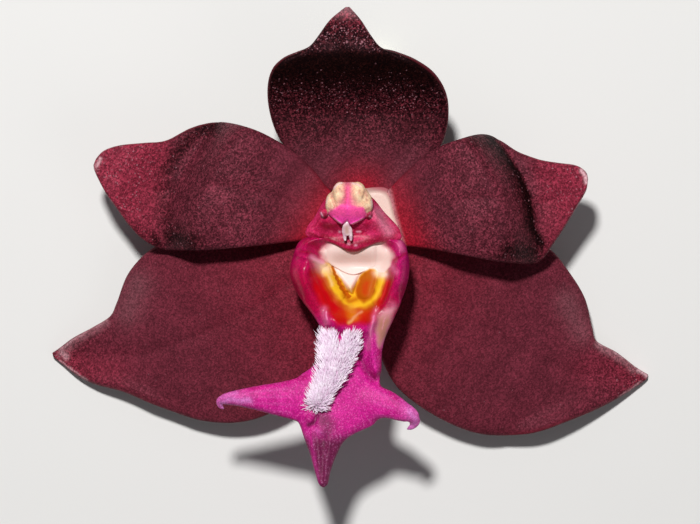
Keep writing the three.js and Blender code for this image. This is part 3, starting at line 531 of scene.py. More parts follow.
def melted(name, parts, voxel, smoothing):
    obj = joined(name, parts)
    melt(obj, voxel, smoothing)
    return obj


def combine(obj, operation, parts):
    """Joins the parts to an object or cuts them out of it."""
    tool = joined("tool", parts)
    modify(obj, "BOOLEAN", operation=operation, solver="EXACT", object=tool)
    bpy.data.objects.remove(tool)


def finish_piece(obj, node, slot, material, **fields):
    """Paints a piece, moves it to metres and to its sight lines, and puts it in place of its node."""
    mesh = obj.data
    for name, values in fields.items():
        field = mesh.attributes.new(name, "FLOAT", "POINT")
        field.data.foreach_set("value", np.clip(values, 0, 1).astype(np.float32))
    points = along_sight(points_of(obj))
    points[:, 2] = np.maximum(points[:, 2], 0)
    set_points(obj, points * MM)
    mesh.shade_smooth()
    mesh.materials.clear()
    mesh.materials.append(material)
    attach(obj, "root")
    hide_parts(node)


# Materials

class Paint:
    """A principled material, with short names for the nodes that feed it."""

    def __init__(self, name):
        self.material = bpy.data.materials.new(name)
        self.material.use_nodes = True
        self.tree = self.material.node_tree
        self.place = self.add("TexCoord", {})["Object"]

    def feed(self, node, inputs):
        """Links an output or writes a value to each socket, which has a name or a number."""
        for key, value in inputs.items():
            socket = node.inputs[key]
            if hasattr(value, "is_linked"):
                self.tree.links.new(value, socket)
            else:
                socket.default_value = (*value, 1) if socket.type == "RGBA" else value

    def add(self, kind, inputs, **settings):
        node = self.tree.nodes.new("ShaderNode" + kind)
        for name, value in settings.items():
            setattr(node, name, value)
        self.feed(node, inputs)
        return node.outputs

    def noise(self, scale, detail):
        inputs = {"Vector": self.place, "Scale": scale, "Detail": detail, "Roughness": 0.55}
        return self.add("TexNoise", inputs)["Fac"]

    def cells(self, scale, output="Color"):
        return self.add("TexVoronoi", {"Vector": self.place, "Scale": scale})[output]

    def field(self, name):
        return self.add("Attribute", {}, attribute_name=name)["Fac"]

    def calc(self, operation, a, b=0):
        return self.add("Math", {0: a, 1: b}, operation=operation)[0]

    def span(self, value, low, high, to_low=0, to_high=1):
        inputs = {"Value": value, "From Min": low, "From Max": high, "To Min": to_low, "To Max": to_high}
        return self.add("MapRange", inputs, interpolation_type="SMOOTHSTEP")["Result"]

    def mix(self, share, a, b, blend="MIX"):
        return self.add("Mix", {0: share, 6: a, 7: b}, data_type="RGBA", blend_type=blend)[2]

    def times(self, colour, factor):
        return self.mix(1, colour, factor, "MULTIPLY")

    def coats(self, colour, **coats):
        """Lays one colour after another over the first, each where the field of its name is strong."""
        for name, coat in coats.items():
            colour = self.mix(self.field(name), colour, coat)
        return colour

    def bumps(self, *layers):
        """The normal over layers of a height, its strength and its depth in millimetres."""
        normal = {}
        for height, strength, depth in layers:
            inputs = {"Height": height, "Strength": strength, "Distance": depth * MM, **normal}
            normal = {"Normal": self.add("Bump", inputs)["Normal"]}
        return normal["Normal"]

    def finish(self, **inputs):
        shader = self.tree.nodes["Principled BSDF"]
        self.feed(shader, {name.replace("_", " "): value for name, value in inputs.items()})
        return self.material


def velvet_maroon():
    """Dark maroon velvet: fine grain, painted fold shade, painted glint specks and rim highlights, crimson
    glow, painted lit tips.
    """
    paint = Paint("velvet_maroon")
    mottle = paint.span(paint.noise(500, 4), 0.35, 0.7)
    cell, clumps, fine_cell = [paint.cells(scale) for scale in (8600, 5200, 9600)]
    grain = paint.field("grain")
    colour = paint.mix(mottle, (0.088, 0.0135, 0.0205), (0.118, 0.017, 0.0265))
    # The tips are painted lighter crimson as if lit, partly their own tone, and the folds are painted
    # near-black as shade.
    colour = paint.coats(
        colour, lit=(0.235, 0.019, 0.036), glow=(0.30, 0.0035, 0.013), night=(0.0045, 0.001, 0.0008))
    tint = paint.mix(paint.span(grain, 0.12, 0.36), (1, 1.10, 1.17), (0.94, 0.97, 0.99))
    colour = paint.times(colour, tint)
    # An exponential grain, divided by its own mean so that it leaves the tone as it is.
    depth = paint.calc("MULTIPLY", grain, 5)
    uneven = paint.calc("ADD", paint.span(cell, 0, 1, -0.7, 0.7), paint.span(clumps, 0, 1, -0.2, 0.2))
    mean = paint.calc("ADD", paint.calc("MULTIPLY", paint.calc("POWER", depth, 2), GRAIN_MEAN), 1)
    grains = paint.calc("DIVIDE", paint.calc("EXPONENT", paint.calc("MULTIPLY", depth, uneven)), mean)
    colour = paint.times(colour, grains)
    # Pale pinkish specks are painted glints on the velvet's papillae.
    speck = paint.calc("MULTIPLY", paint.field("speck"), 0.4)
    specks = paint.span(paint.calc("ADD", fine_cell, speck), 1, 1.12)
    colour = paint.mix(paint.calc("MULTIPLY", specks, 0.8), colour, (0.34, 0.145, 0.175))
    # Painted highlights on rims and tips, partly their own paler tone, grained by the cells.
    pale = paint.calc("MULTIPLY", paint.field("pale"), paint.span(cell, 0.2, 0.7, 0.55, 1))
    colour = paint.coats(paint.mix(pale, colour, (0.74, 0.44, 0.48)), edge=(0.22, 0.02, 0.035))
    return paint.finish(
        Base_Color=colour, Roughness=paint.span(cell, 0.2, 0.9, 0.62, 0.44),
        Normal=paint.bumps((paint.cells(8600, "Distance"), 0.3, 0.05), (paint.field("vein"), 0.12, 0.08)),
        Specular_IOR_Level=0.1, Specular_Tint=(1, 0.45, 0.55),
        Sheen_Weight=0.02, Sheen_Roughness=0.4, Sheen_Tint=(1, 0.5, 0.6))


def throat_flesh(name, roughness, level):
    """Waxy flesh that runs from magenta and crimson over red and yellow to a white throat."""
    paint = Paint(name)
    mottle = paint.noise(900, 4)
    cell = paint.cells(11000)
    crimson = paint.field("crimson")
    colour = paint.mix(paint.span(mottle, 0.3, 0.7), (0.50, 0.006, 0.205), (0.62, 0.014, 0.265))
    # The dark crimson coat is partly painted shade in creases, the lilac coat partly painted highlight, and
    # the last coat painted shade.
    colour = paint.coats(
        colour, crimson=(0.40, 0.0018, 0.04), deep=(0.27, 0.001, 0.022), lilac=(0.60, 0.17, 0.48),
        shade=(0.13, 0.01, 0.05))
    colour = paint.times(colour, paint.span(cell, 0.2, 0.8, 0.8, 1.2))
    # Pale specks are painted glints, kept off the crimson lobes.
    specks = paint.calc("MULTIPLY", paint.span(cell, 0.66, 0.95, 0, 0.17), paint.span(crimson, 0, 0.4, 1, 0))
    # The pink coat is partly painted highlight, the white coat holds a painted crest highlight, and the brown
    # coat at the end is painted shade.
    colour = paint.coats(
        paint.mix(specks, colour, (0.85, 0.42, 0.72)),
        red=(0.50, 0.0015, 0.005), yellow=(0.82, 0.45, 0.012), orange=(0.47, 0.105, 0.001),
        ember=(0.54, 0.03, 0.0015), pink=(0.78, 0.22, 0.40), white=(0.90, 0.69, 0.63),
        dusk=(0.42, 0.17, 0.12))
    return paint.finish(
        Base_Color=colour, Roughness=paint.span(crimson, 0.1, 0.7, 0.52, roughness),
        Normal=paint.bumps((paint.noise(7000, 2), 0.3, 0.05), (mottle, 0.25, 0.12)), Specular_IOR_Level=level,
        Subsurface_Weight=0.08, Subsurface_Scale=0.0008, Subsurface_Radius=(1, 0.4, 0.4))


def crimson_column():
    paint = Paint("crimson_column")
    mottle = paint.noise(1300, 4)
    cell = paint.cells(9000)
    colour = paint.mix(paint.span(mottle, 0.3, 0.7), (0.48, 0.006, 0.058), (0.64, 0.026, 0.13))
    # The dark coat is partly painted shade in the hollows and under the lower lip; the pale coat is painted
    # glints and highlights.
    colour = paint.coats(colour, deep=(0.24, 0.001, 0.018), pale=(0.80, 0.42, 0.55))
    colour = paint.times(colour, paint.span(cell, 0.2, 0.8, 0.82, 1.18))
    # The pale specks mixed in are painted glints.
    return paint.finish(
        Base_Color=paint.mix(paint.span(cell, 0.72, 0.95, 0, 0.1), colour, (0.80, 0.36, 0.50)),
        Normal=paint.bumps((paint.noise(6500, 2), 0.3, 0.06), (mottle, 0.3, 0.12)),
        Roughness=paint.span(mottle, 0.3, 0.7, 0.36, 0.5), Specular_IOR_Level=0.22,
        Subsurface_Weight=0.08, Subsurface_Scale=0.0005, Subsurface_Radius=(1, 0.3, 0.5))


def cream_cap():
    paint = Paint("cream_cap")
    mottle = paint.noise(2200, 4)
    colour = paint.mix(paint.span(mottle, 0.35, 0.7), (0.78, 0.48, 0.29), (0.90, 0.66, 0.42))
    # The brown coat is partly painted shade in the notches between the lobes.
    colour = paint.coats(
        colour, stripe=(0.76, 0.085, 0.24), rose=(0.98, 0.086, 0.34), deep=(0.96, 0.06, 0.40),
        brown=(0.46, 0.14, 0.13))
    colour = paint.times(colour, paint.span(paint.cells(8000), 0.2, 0.8, 0.88, 1.12))
    # The light coat is painted highlight along the rims.
    return paint.finish(
        Base_Color=paint.coats(colour, light=(0.92, 0.60, 0.66)),
        Normal=paint.bumps((paint.noise(6000, 2), 0.25, 0.05), (mottle, 0.35, 0.12)),
        Roughness=paint.span(mottle, 0.3, 0.7, 0.42, 0.55), Specular_IOR_Level=0.3,
        Subsurface_Weight=0.12, Subsurface_Scale=0.0006, Subsurface_Radius=(1, 0.5, 0.4))


def white_hair():
    paint = Paint("white_hair")
    mottle = paint.noise(1600, 3)
    colour = paint.mix(paint.span(mottle, 0.3, 0.7), (0.90, 0.74, 0.88), (1, 0.92, 0.99))
    return paint.finish(
        Base_Color=paint.coats(colour, root=(0.56, 0.20, 0.43)),
        Roughness=paint.span(mottle, 0.3, 0.7, 0.5, 0.65), Specular_IOR_Level=0.3,
        Sheen_Weight=0.5, Sheen_Roughness=0.5)


def pale_rostellum():
    paint = Paint("pale_rostellum")
    mottle = paint.noise(3500, 3)
    colour = paint.mix(paint.span(mottle, 0.35, 0.65), (0.60, 0.36, 0.44), (0.80, 0.60, 0.64))
    return paint.finish(
        Base_Color=paint.coats(colour, core=(0.48, 0.28, 0.24), glint=(0.95, 0.88, 0.92)),
        Normal=paint.bumps((mottle, 0.3, 0.05)), Roughness=paint.span(mottle, 0.3, 0.7, 0.26, 0.4),
        Specular_IOR_Level=0.5, Coat_Weight=0.15, Coat_Roughness=0.2)


def stalk_flesh():
    paint = Paint("stalk_flesh")
    mottle = paint.noise(600, 4)
    colour = paint.mix(paint.span(mottle, 0.3, 0.7), (0.40, 0.46, 0.14), (0.56, 0.60, 0.26))
    colour = paint.coats(colour, cream=(0.70, 0.50, 0.43), blush=(0.62, 0.10, 0.16), cut=(0.74, 0.78, 0.50))
    return paint.finish(
        Base_Color=colour, Normal=paint.bumps((paint.noise(4500, 2), 0.25, 0.06)),
        Roughness=paint.span(mottle, 0.3, 0.7, 0.4, 0.55), Specular_IOR_Level=0.4)


# Sepals and petals

def blade(name, stations, height, thickness, rows=BLADE_ROWS, columns=BLADE_COLUMNS):
    """Both faces of a grid between two edges, thinned to nothing at the rim.

    Its points also get s, their share of the length, and t, from -1 at one edge to 1 at the other.
    """
    even = np.linspace(-1, 1, columns + 1)
    across = even + (np.sin(even * math.pi / 2) - even) * EDGE_CROWDING
    share = np.linspace(0, 1, rows + 1)
    s, t = np.meshgrid(share, across, indexing="ij")
    edges = along(stations, share)
    first, second = edges[:, None, :2], edges[:, None, 2:]
    flat = first + (second - first) * ((t + 1) / 2)[:, :, None]
    reach = t * np.linalg.norm(edges[:, 2:] - edges[:, :2], axis=1)[:, None] / 2
    x, y = flat[:, :, 0], flat[:, :, 1]
    middle = np.dstack([x, y, height(x, y, reach, s, t)])
    normal = np.cross(np.gradient(middle, axis=0), np.gradient(middle, axis=1))
    normal /= np.linalg.norm(normal, axis=2, keepdims=True) + 1e-12
    normal *= np.sign(normal[:, :, 2:])
    rim = np.sqrt(np.clip((1 - np.abs(t) ** 14) * (1 - s ** 60) * np.minimum(s / 0.02, 1), 0, 1))
    offset = normal * (thickness / 2 * rim)[:, :, None]
    top, under = middle + offset, middle - offset
    grid = np.arange(s.size).reshape(s.shape)
    below = grid + s.size
    border = np.ones(s.shape, bool)
    border[1:-1, 1:-1] = False
    below[border] = grid[border]
    used, faces = compact(np.concatenate([grid_faces(grid), grid_faces(below)]))
    half = len(faces) // 2
    facing = np.cross(middle[1, 0] - middle[0, 0], middle[0, 1] - middle[0, 0])[2]
    flip = slice(half, None) if facing > 0 else slice(0, half)
    faces[flip] = faces[flip][:, ::-1]
    points = np.concatenate([top.reshape(-1, 3), under.reshape(-1, 3)])[used]
    s, t = [np.tile(values.ravel(), 2)[used] for values in (s, t)]
    return new_object(name, points, faces), s, t


def ripple(x, y, phase):
    """Slow unevenness that keeps a blade from looking pressed."""
    slow = 0.05 * np.sin(0.9 * x + phase) * np.sin(0.8 * y + 1.7 * phase)
    return slow + 0.03 * np.sin(1.9 * x - 1.3 * y + phase)


def midrib(reach, s):
    return -0.16 * bell(reach, 0.5) * smooth(0.05, 0.3, s) * (1 - smooth(0.6, 0.95, s))


def dorsal_height(x, y, reach, s, t):
    out = y - DORSAL_STATIONS[0][1]
    hood = 3.4 * smooth(6.5, 12.4, out)
    recurve = -1.5 * smooth(12, 16, out)
    cup = 0.016 * smooth(4, 9, out) * reach ** 2
    return SEPAL_BASE_HEIGHT + 0.04 * out + hood + recurve + cup + ripple(x, y, 0.6) + midrib(reach, s)


def petal_height(x, y, reach, s, t):
    out = np.abs(x)
    past_fold = out - (15.3 - 0.19 * np.maximum(0, y - 2) ** 1.5)
    dome = np.where(x > 0, 2.3, 1.3) * smooth(3.5, 11, out)
    step = -2.9 * smooth(-2.4, 0.8, past_fold)
    flare = 0.9 * smooth(1.5, 6, past_fold)
    roll = -np.abs(t) ** 3 * smooth(8, 12, out) * (1 - smooth(0, 3, past_fold))
    return PETAL_BASE_HEIGHT + dome + step + flare + roll + ripple(x, y, 2.1) + midrib(reach, s)


def sepal_height(stations):
    ax, ay, bx, by = stations[-1]
    furthest = math.hypot((ax + bx) / 2, (ay + by) / 2)

    def height(x, y, reach, s, t):
        out = np.hypot(x, y) / furthest
        fall = (SEPAL_BASE_HEIGHT - SEPAL_TIP_HEIGHT) * out ** 1.8
        boat = 0.13 * smooth(0.74, 0.94, out) * reach ** 2
        keep = 1 - smooth(0.85, 1, out)
        return SEPAL_BASE_HEIGHT - fall + boat + (ripple(x, y, 4) + midrib(reach, s)) * keep
    return height


def finish_blade(obj, node, material, s, t, **fields):
    """Adds the veins and the reddish edge that every sepal and petal has."""
    veins = 0.5 + 0.5 * np.sin(np.arcsin(np.clip(t, -1, 1)) * VEIN_WAVES)
    edge = 0.45 * smooth(0.985, 0.997, np.abs(t))
    finish_piece(obj, node, "velvet_maroon", material, vein=veins * smooth(0.05, 0.3, s), edge=edge, **fields)


# The dorsal sepal's painted near-black shade under the hood, its grain and its specks of painted glint: how
# strong each is at some places y.
DORSAL_Y = (7.4, 9.5, 10.8, 11.7, 12.5, 13.4, 14.2, 15, 16.4, 17.2, 18.2, 19.4)
DORSAL_NIGHT = (0.08, 0.38, 0.59, 0.63, 0.72, 0.88, 0.96, 1, 1, 0.88, 0.80, 0.45)
DORSAL_GRAIN = (0.10, 0.27, 0.36, 0.44, 0.52, 0.56, 0.48, 0.40, 0.40, 0.60, 0.60, 0.35)
DORSAL_SPECK = (0, 0.12, 0.26, 0.38, 0.48, 0.48, 0.40, 0.28, 0.15, 0.60, 0.62, 0.45)


def build_dorsal(material):
    obj, s, t = blade("dorsal_sepal_fine", DORSAL_STATIONS, dorsal_height, SEPAL_THICKNESS)
    x, y = points_of(obj)[:, :2].T
    height = y + 0.04 * np.abs(x - 0.5) + 0.12 * np.sin(1.3 * x)
    # Painted near-black shade under the hood, specks of painted glint, and a tip painted lighter as if lit,
    # with a pale painted highlight.
    finish_blade(
        obj, "dorsal_sepal", material, s, t,
        lit=0.8 * smooth(18.5, 20, y),
        glow=0.85 * bell(np.hypot(x - 0.8, y - 4.6), 2.1),
        pale=0.22 * smooth(19, 20.2, y),
        night=np.interp(height, DORSAL_Y, DORSAL_NIGHT),
        grain=np.interp(height, DORSAL_Y, DORSAL_GRAIN),
        speck=np.interp(height, DORSAL_Y, DORSAL_SPECK))


# How far along the petals their crimson bases glow.
LEFT_GLOW_REACH = 0.3
RIGHT_GLOW_REACH = 0.2
# Painted near-black shade in the folds of the petals.
LEFT_PETAL_NIGHT = [
    (0.85, [(-11.6, 10.4), (-13, 9.9)], 0.75), (0.55, [(-13.4, 9.6), (-14.6, 8.2), (-15.6, 6.6)], 0.65),
    (0.3, [(-15.8, 6.4), (-16, 4), (-15.8, 2.2)], 0.8), (0.85, [(-18.4, 1.7), (-16.6, 0.5)], 0.55),
    (0.75, [(-15.2, 0.9), (-13.6, 0.3)], 0.85),
]
RIGHT_PETAL_NIGHT = [
    (1, [(11.9, 9.35), (13, 8), (14.2, 6.3), (14.9, 4.8), (15.3, 3.2), (15.45, 1.7), (16.3, 0.3)], 0.8, 0.26),
    (0.6, [(10.4, 9.2), (12, 9)], 0.8), (0.8, [(13.4, -0.4), (15.4, -0.5)], 0.9),
]
# Painted highlights: whitish rims at the tips, and broad pale patches of painted sheen near them.
SEPAL_TIP_LIGHTS = [
    (0.45, [(-20.8, -6.2), (-23.2, -7.6), (-24.8, -8.8)], 0.14),
    (0.15, [(-20.9, -6.5), (-23.2, -7.8), (-24.5, -9)], 0.4), (0.5, [(-24.6, -8.95), (-24.2, -9.3)], 0.28),
    (0.5, [(-24.7, -9.7), (-23.9, -10.3), (-22.5, -11.3)], 0.09),
    (0.7, [(20.9, -8.05), (22.7, -9.1), (24.2, -10.15)], 0.11),
    (0.22, [(21, -8.4), (22.8, -9.5), (24, -10.4)], 0.32), (0.9, [(24.5, -10.5), (25.1, -10.9)], 0.2),
    (0.4, [(24.6, -11.5), (23.9, -12), (22.8, -12.7)], 0.09), (0.07, [(-18.2, -3.2), (-19, -5.4)], 1.3),
    (0.07, [(18.4, -4.6), (19.6, -7.2)], 1.1),
]
# Painted highlights at the petals' tips.
PETAL_TIP_LIGHTS = [
    (1, [(19.6, 6.5), (19.95, 6), (19.98, 5.5)], 0.17), (0.8, [(-21.3, 7.5), (-21.6, 6.9)], 0.15),
]


def build_petal(node, stations, night_lines, glow_reach, material):
    obj, s, t = blade(f"{node}_fine", stations, petal_height, PETAL_THICKNESS)
    points = points_of(obj)
    out, y = np.abs(points[:, 0]), points[:, 1]
    tip_lobe = smooth(15, 16.6, out + 0.12 * (y - 4))
    far_lobe = smooth(15.5, 19, out + 0.35 * (y - 4))
    inner = 1 - smooth(3.5, 9, out)
    # Painted highlights along the rims, the tip and the very base.
    rim = np.maximum(0.8 * smooth(0.93, 1, s), smooth(0.97, 0.99, np.abs(t)) * smooth(0.74, 0.84, s))
    # Painted near-black shade in the folds, weaker on the tip lobes.
    night = strokes(points, night_lines) * (1 - 0.8 * smooth(16.4, 17.4, out))
    # The tip lobes are painted lighter crimson as if lit, partly their own tone.
    finish_blade(
        obj, node, material, s, t,
        lit=tip_lobe * (0.47 + 0.28 * far_lobe),
        glow=0.9 * (1 - smooth(0, glow_reach, s + 0.01 - 0.03 * t)) ** 1.6,
        pale=np.maximum(0.7 * rim + 0.7 * (1 - smooth(0, 0.03, s)), strokes(points, PETAL_TIP_LIGHTS)),
        night=night,
        grain=0.22 - 0.14 * inner + 0.2 * night - 0.04 * tip_lobe,
        speck=0.22 - 0.2 * inner + 0.2 * night + 0.25 * far_lobe)


def build_lateral_sepal(node, stations, material):
    obj, s, t = blade(f"{node}_fine", stations, sepal_height(stations), SEPAL_THICKNESS)
    points = points_of(obj)
    tip = smooth(0.72, 0.95, s)
    red_patch = band(np.abs(points), [(20.2, 10.3), (23.2, 10.3)], 1.5)
    # The tips are painted lighter as if lit, partly their own redder tone, and get painted rim highlights and
    # sheen.
    finish_blade(
        obj, node, material, s, t,
        lit=0.11 + 0.34 * tip * (1 - 0.6 * np.abs(t)) + 0.3 * red_patch,
        glow=0.32 * (1 - smooth(0, 0.5, s)),
        pale=strokes(wavering(points, 0.05), SEPAL_TIP_LIGHTS),
        night=0 * s,
        grain=0.12 + 0.11 * smooth(0.55, 0.95, s),
        speck=0.18 + 0.32 * tip)


# Stalk and floral base

# Where the pale base meets the dorsal sepal and the right petal.
BASE_EDGE = [(1.3, 5.3), (2.5, 5.05), (3.2, 4.85), (3.6, 4.3), (4.15, 2.7), (4.9, 0.2)]


def build_stalk(material):
    across = np.array((1.0, 0, 0))
    angle = turn(72)
    rings = []
    for part, station, forward in zip(*run(STALK_STATIONS, 150)):
        up = unit(np.cross(across, forward))
        ribs = np.cos(STALK_RIBS * angle + STALK_HALF_TURNS * part * math.pi)
        radius = station[3] * (1 + STALK_RIB_DEPTH * ribs)
        sideways = (radius * np.cos(angle))[:, None] * across
        edge = station[:3] + sideways + (radius * np.sin(angle))[:, None] * up
        edge[:, 2] = np.maximum(edge[:, 2], 0)
        rings.append(edge)
    base = stacked(FLORAL_BASE_PLAN, FLORAL_BASE_CENTRE, FLORAL_BASE_LEVELS)
    obj = melted("stalk_and_ovary_fine", [skin(rings), base], voxel=0.12, smoothing=6)
    x, y, z = points_of(obj).T
    blush = band(points_of(obj), BASE_EDGE, 0.3) * 0.8 + 0.45 * smooth(2.6, 0.4, y)
    finish_piece(
        obj, "stalk_and_ovary", "stalk", material,
        cream=smooth(5.2, 6.8, z), blush=blush * smooth(6, 6.8, z), cut=smooth(16.2, 16.35, y))


# Lip, column and what they carry

def throat_floor(x, y):
    """Height of the white bowl under the tongue, which climbs to the front between the ridges."""
    front = 0.32 * np.maximum(0, -1.2 - y) ** 1.4
    back = 1.05 * smooth(-1.9, 0.1, y) * smooth(3.2, 1, np.abs(x - 0.3))
    return 11 + 0.13 * (x - 0.3) ** 2 + front + back


def shape_lip():
    straps = [strap(MIDLOBE, rows=120, sides=48)]
    straps += [strap(form) for form in (LEFT_ARM, RIGHT_ARM, RIGHT_FLANGE, LEFT_FLANGE, FOLD_KEEL)]
    pouch = stacked(POUCH_PLAN, POUCH_CENTRE, POUCH_LEVELS)
    obj = melted("lip_fine", [pouch, *straps], voxel=0.16, smoothing=14)
    combine(obj, "DIFFERENCE", [stacked(THROAT_PLAN, THROAT_CENTRE, THROAT_LEVELS)])
    melt(obj, voxel=0.09, smoothing=8)
    for claw in CLAWS:
        combine(obj, "UNION", [strap(claw, rows=24, sides=20)])
    points = points_of(obj)
    points = lift(obj, points, relief(points, LIP_RELIEF))
    bowl = within(points, WHITE_THROAT, 0.3) * (points[:, 2] > THROAT_LEVELS[0][0] - 0.3)
    points[:, 2] += bowl * np.maximum(throat_floor(points[:, 0], points[:, 1]) - points[:, 2], 0)
    set_points(obj, points)
    return obj


# How far the ridges and creases of the lip stand up.
LIP_RELIEF = [
    (0.28, [(-4.5, -0.75), (-3.6, -0.9), (-2.9, -1.2), (-2.2, -1.5)], 0.22),
    (0.22, [(4.6, -0.9), (3.9, -1.4), (3.4, -2)], 0.25), (0.35, [(-4.2, -1.9), (-4, -3)], 0.7),
    (0.35, [(4.3, -1.6), (4.1, -3)], 0.5), (0.22, [(-2.05, -5.4), (-2.05, -6.6)], 0.2),
    (0.5, [(2.2, -5), (1.85, -6.2), (1.6, -7.7), (1.75, -9.3), (2.1, -10.6)], 0.36),
    (0.35, [(-3.65, -14.6), (-3.5, -14.75)], 0.35), (-0.5, [(-3.1, -2.6), (-2.7, -4), (-1.9, -5.4)], 0.6),
    (-0.35, [(3.1, -2.8), (2.8, -4), (2.1, -5.6)], 0.5),
    (-0.45, [(0.85, -8), (0.7, -9.2), (1.2, -10.4), (1.9, -11.3)], 0.3),
    (-0.2, [(-4.6, -0.3), (-3.5, -0.5), (-2.6, -0.9)], 0.16), (-0.18, [(4.6, -0.5), (3.7, -1)], 0.18),
    (-0.25, [(3.2, -2.9), (2.8, -4.3), (1.9, -6)], 0.22), (-0.25, [(-2.4, -16.3), (-2.3, -17.2)], 0.35),
    (-0.2, [(-3.2, -15.1), (-3, -14.5)], 0.2), (0.1, [(-1.75, -16.4), (-2, -18), (-2.2, -19.8)], 0.14),
    (-0.1, [(-2.4, -17.4), (-2.45, -19.8)], 0.16), (0.08, [(-2.8, -16.6), (-2.75, -18.6)], 0.14),
]
# Outlines and lines of the throat's colours.
WHITE_THROAT = [
    (-1.7, 0.9), (-1.7, 0.3), (-2.3, -0.1), (-2.55, -0.4), (-2.4, -0.8), (-2, -1.3), (-1.6, -1.65),
    (-1.15, -2.3), (-0.7, -2.95), (-0.25, -3.6), (0.05, -3.85), (0.3, -3.3), (0.6, -2.65), (1, -2.15),
    (1.55, -1.85), (2.05, -1.95), (2.4, -2.2), (2.9, -2.2), (3.25, -1.75), (3.45, -1.1), (3.55, -0.8),
    (3.25, -0.3), (2.65, 0.3), (2.6, 0.9),
]
YELLOW_THROAT = [
    (-2.75, -1.45), (-2.6, -2.2), (-2.2, -2.7), (-1.9, -3.4), (-1.3, -4.3), (-0.6, -5), (0.2, -5.4),
    (1.1, -5.3), (1.9, -5), (2.4, -4.3), (2.75, -3.5), (3, -2.65), (3.1, -2), (0.3, -1.2), (-2, -1.2),
]
ORANGE_LOBE = [
    (0.65, -2.65), (1.1, -2.1), (1.65, -1.85), (2.1, -2.1), (2.2, -2.75), (2.1, -3.75), (1.75, -4.4),
    (1.1, -4.75), (0.45, -4.45), (0.3, -3.75), (0.5, -3.2),
]
RED_THROAT = [
    (-3.5, -2.1), (-2.8, -1.8), (-2.3, -2.6), (-1, -4), (1.5, -4.5), (2.5, -3.7), (2.9, -2.4), (3.3, -2.5),
    (3.35, -3.1), (2.9, -4.3), (2.3, -5.5), (1.7, -6.5), (-1.2, -6.7), (-1.7, -5.9), (-2.5, -4.9),
    (-3.2, -3.7),
]
CREAM_RIDGE = [(-3.1, -1.15), (-2.2, -1.35), (-1.65, -1.7), (-1.8, -2.2), (-2.3, -2.2), (-2.8, -1.8)]
FLANK = [
    (3.7, -5.2), (3.3, -6.4), (3, -7.5), (2.4, -8.5), (2.25, -7.9), (2.15, -7), (2.35, -5.9), (2.9, -5.3),
]
LOW_FLAME = [(0.9, -5.5), (0.4, -5.9), (-0.2, -6.4)]
THROAT_SERRATION = [(-1.6, -1.7), (-1.15, -2.6), (-0.75, -3.4), (-0.15, -4.2)]
# Painted highlights in pink on ridges, lobes and the neck.
PINK_STROKES = [
    (0.8, [(-3.4, -0.85), (-3, -1), (-2.4, -1.3)], 0.2), (1, [(-2.1, -5.6), (-2.08, -6.2)], 0.09),
    (0.35, [(-2.3, -5.3), (-2.1, -6.5)], 0.3), (0.9, [(1.97, -5.9), (1.75, -6.9), (1.6, -7.6)], 0.09),
    (0.35, [(2.1, -5.4), (1.7, -7.2), (1.45, -8.6)], 0.25), (0.45, [(4.15, 0.4), (4.3, -0.2)], 0.25),
    (0.45, [(3.3, -1.5), (3.8, -2.1)], 0.25), (0.35, [(3.6, -5), (3, -6.2)], 0.35),
]
# Dark crimson: partly the lip's own tone, partly painted shade in creases and on the lower sides of the
# lobes.
DEEP_STROKES = [
    (0.55, [(-4.7, -3.2), (-3.9, -4.4)], 0.45), (0.6, [(4.4, -3.6), (3.6, -4.9)], 0.45),
    (0.8, [(3.4, -2.7), (2.95, -4.2), (2.2, -5.7)], 0.24),
    (0.75, [(-4.3, -0.35), (-3.4, -0.55), (-2.7, -1)], 0.13),
    (0.6, [(-3.9, 0.5), (-3, 0.1), (-2.7, -0.3)], 0.4), (0.8, [(4.6, -0.6), (3.7, -1.1)], 0.14),
    (0.6, [(-3.4, -2.2), (-3.1, -3.3), (-2.5, -4.4)], 0.3),
    (0.5, [(2.4, -8.7), (2.6, -10), (2.65, -11.3)], 0.3),
    (0.35, [(-9.5, -12.1), (-6.5, -11.45), (-3.9, -11)], 0.3), (0.3, [(2.6, -11.7), (3.9, -12.9)], 0.3),
]
SHADE_STROKES = [
    (0.85, [(-3.6, -15.15), (-3.15, -14.95), (-2.95, -14.4)], 0.22),
    (0.3, [(-3.7, -14.5), (-3.5, -14.7)], 0.4), (0.75, [(-2.6, -14.4), (-2, -15.2), (-2.1, -16.2)], 0.75),
    (1, [(-2.3, -16.6), (-2.35, -17.1)], 0.35), (0.6, [(-3.2, -16), (-2.85, -17.6), (-2.6, -19.5)], 0.4),
    (0.5, [(-2.3, -17), (-2.3, -20.2)], 0.5),
    (0.6, [(0.85, -8), (0.75, -9.4), (1.3, -10.5), (2, -11.3)], 0.22),
    (0.45, [(-10.4, -13.4), (-8.8, -13.7), (-6.9, -14.15), (-5.2, -14.65), (-4.3, -15.2)], 0.28),
    (0.35, [(4.3, -14.9), (2.9, -14.65), (1.5, -14.85), (0.66, -15.2), (-0.1, -16), (-0.7, -16.8)], 0.3),
]
# Lilac strokes, mostly painted highlights on the arm tips, hooks, the left arm's ridge and the mid-lobe's
# streak.
LILAC_STROKES = [
    (0.85, [(-11.1, -13.3), (-10.4, -13), (-8.6, -13.1)], 0.3), (0.6, [(-11, -12.8), (-9.8, -12.4)], 0.3),
    (0.85, [(5, -14), (5.5, -14.6), (5.4, -15.1), (4.8, -15.5)], 0.4),
    (1, [(-11.1, -13.4), (-10.8, -13.75)], 0.2), (0.6, [(-1.8, -16.8), (-2.05, -18.3), (-2.2, -20.3)], 0.1),
    (0.35, [(-2.9, -15.6), (-2.4, -15.9)], 0.2),
]


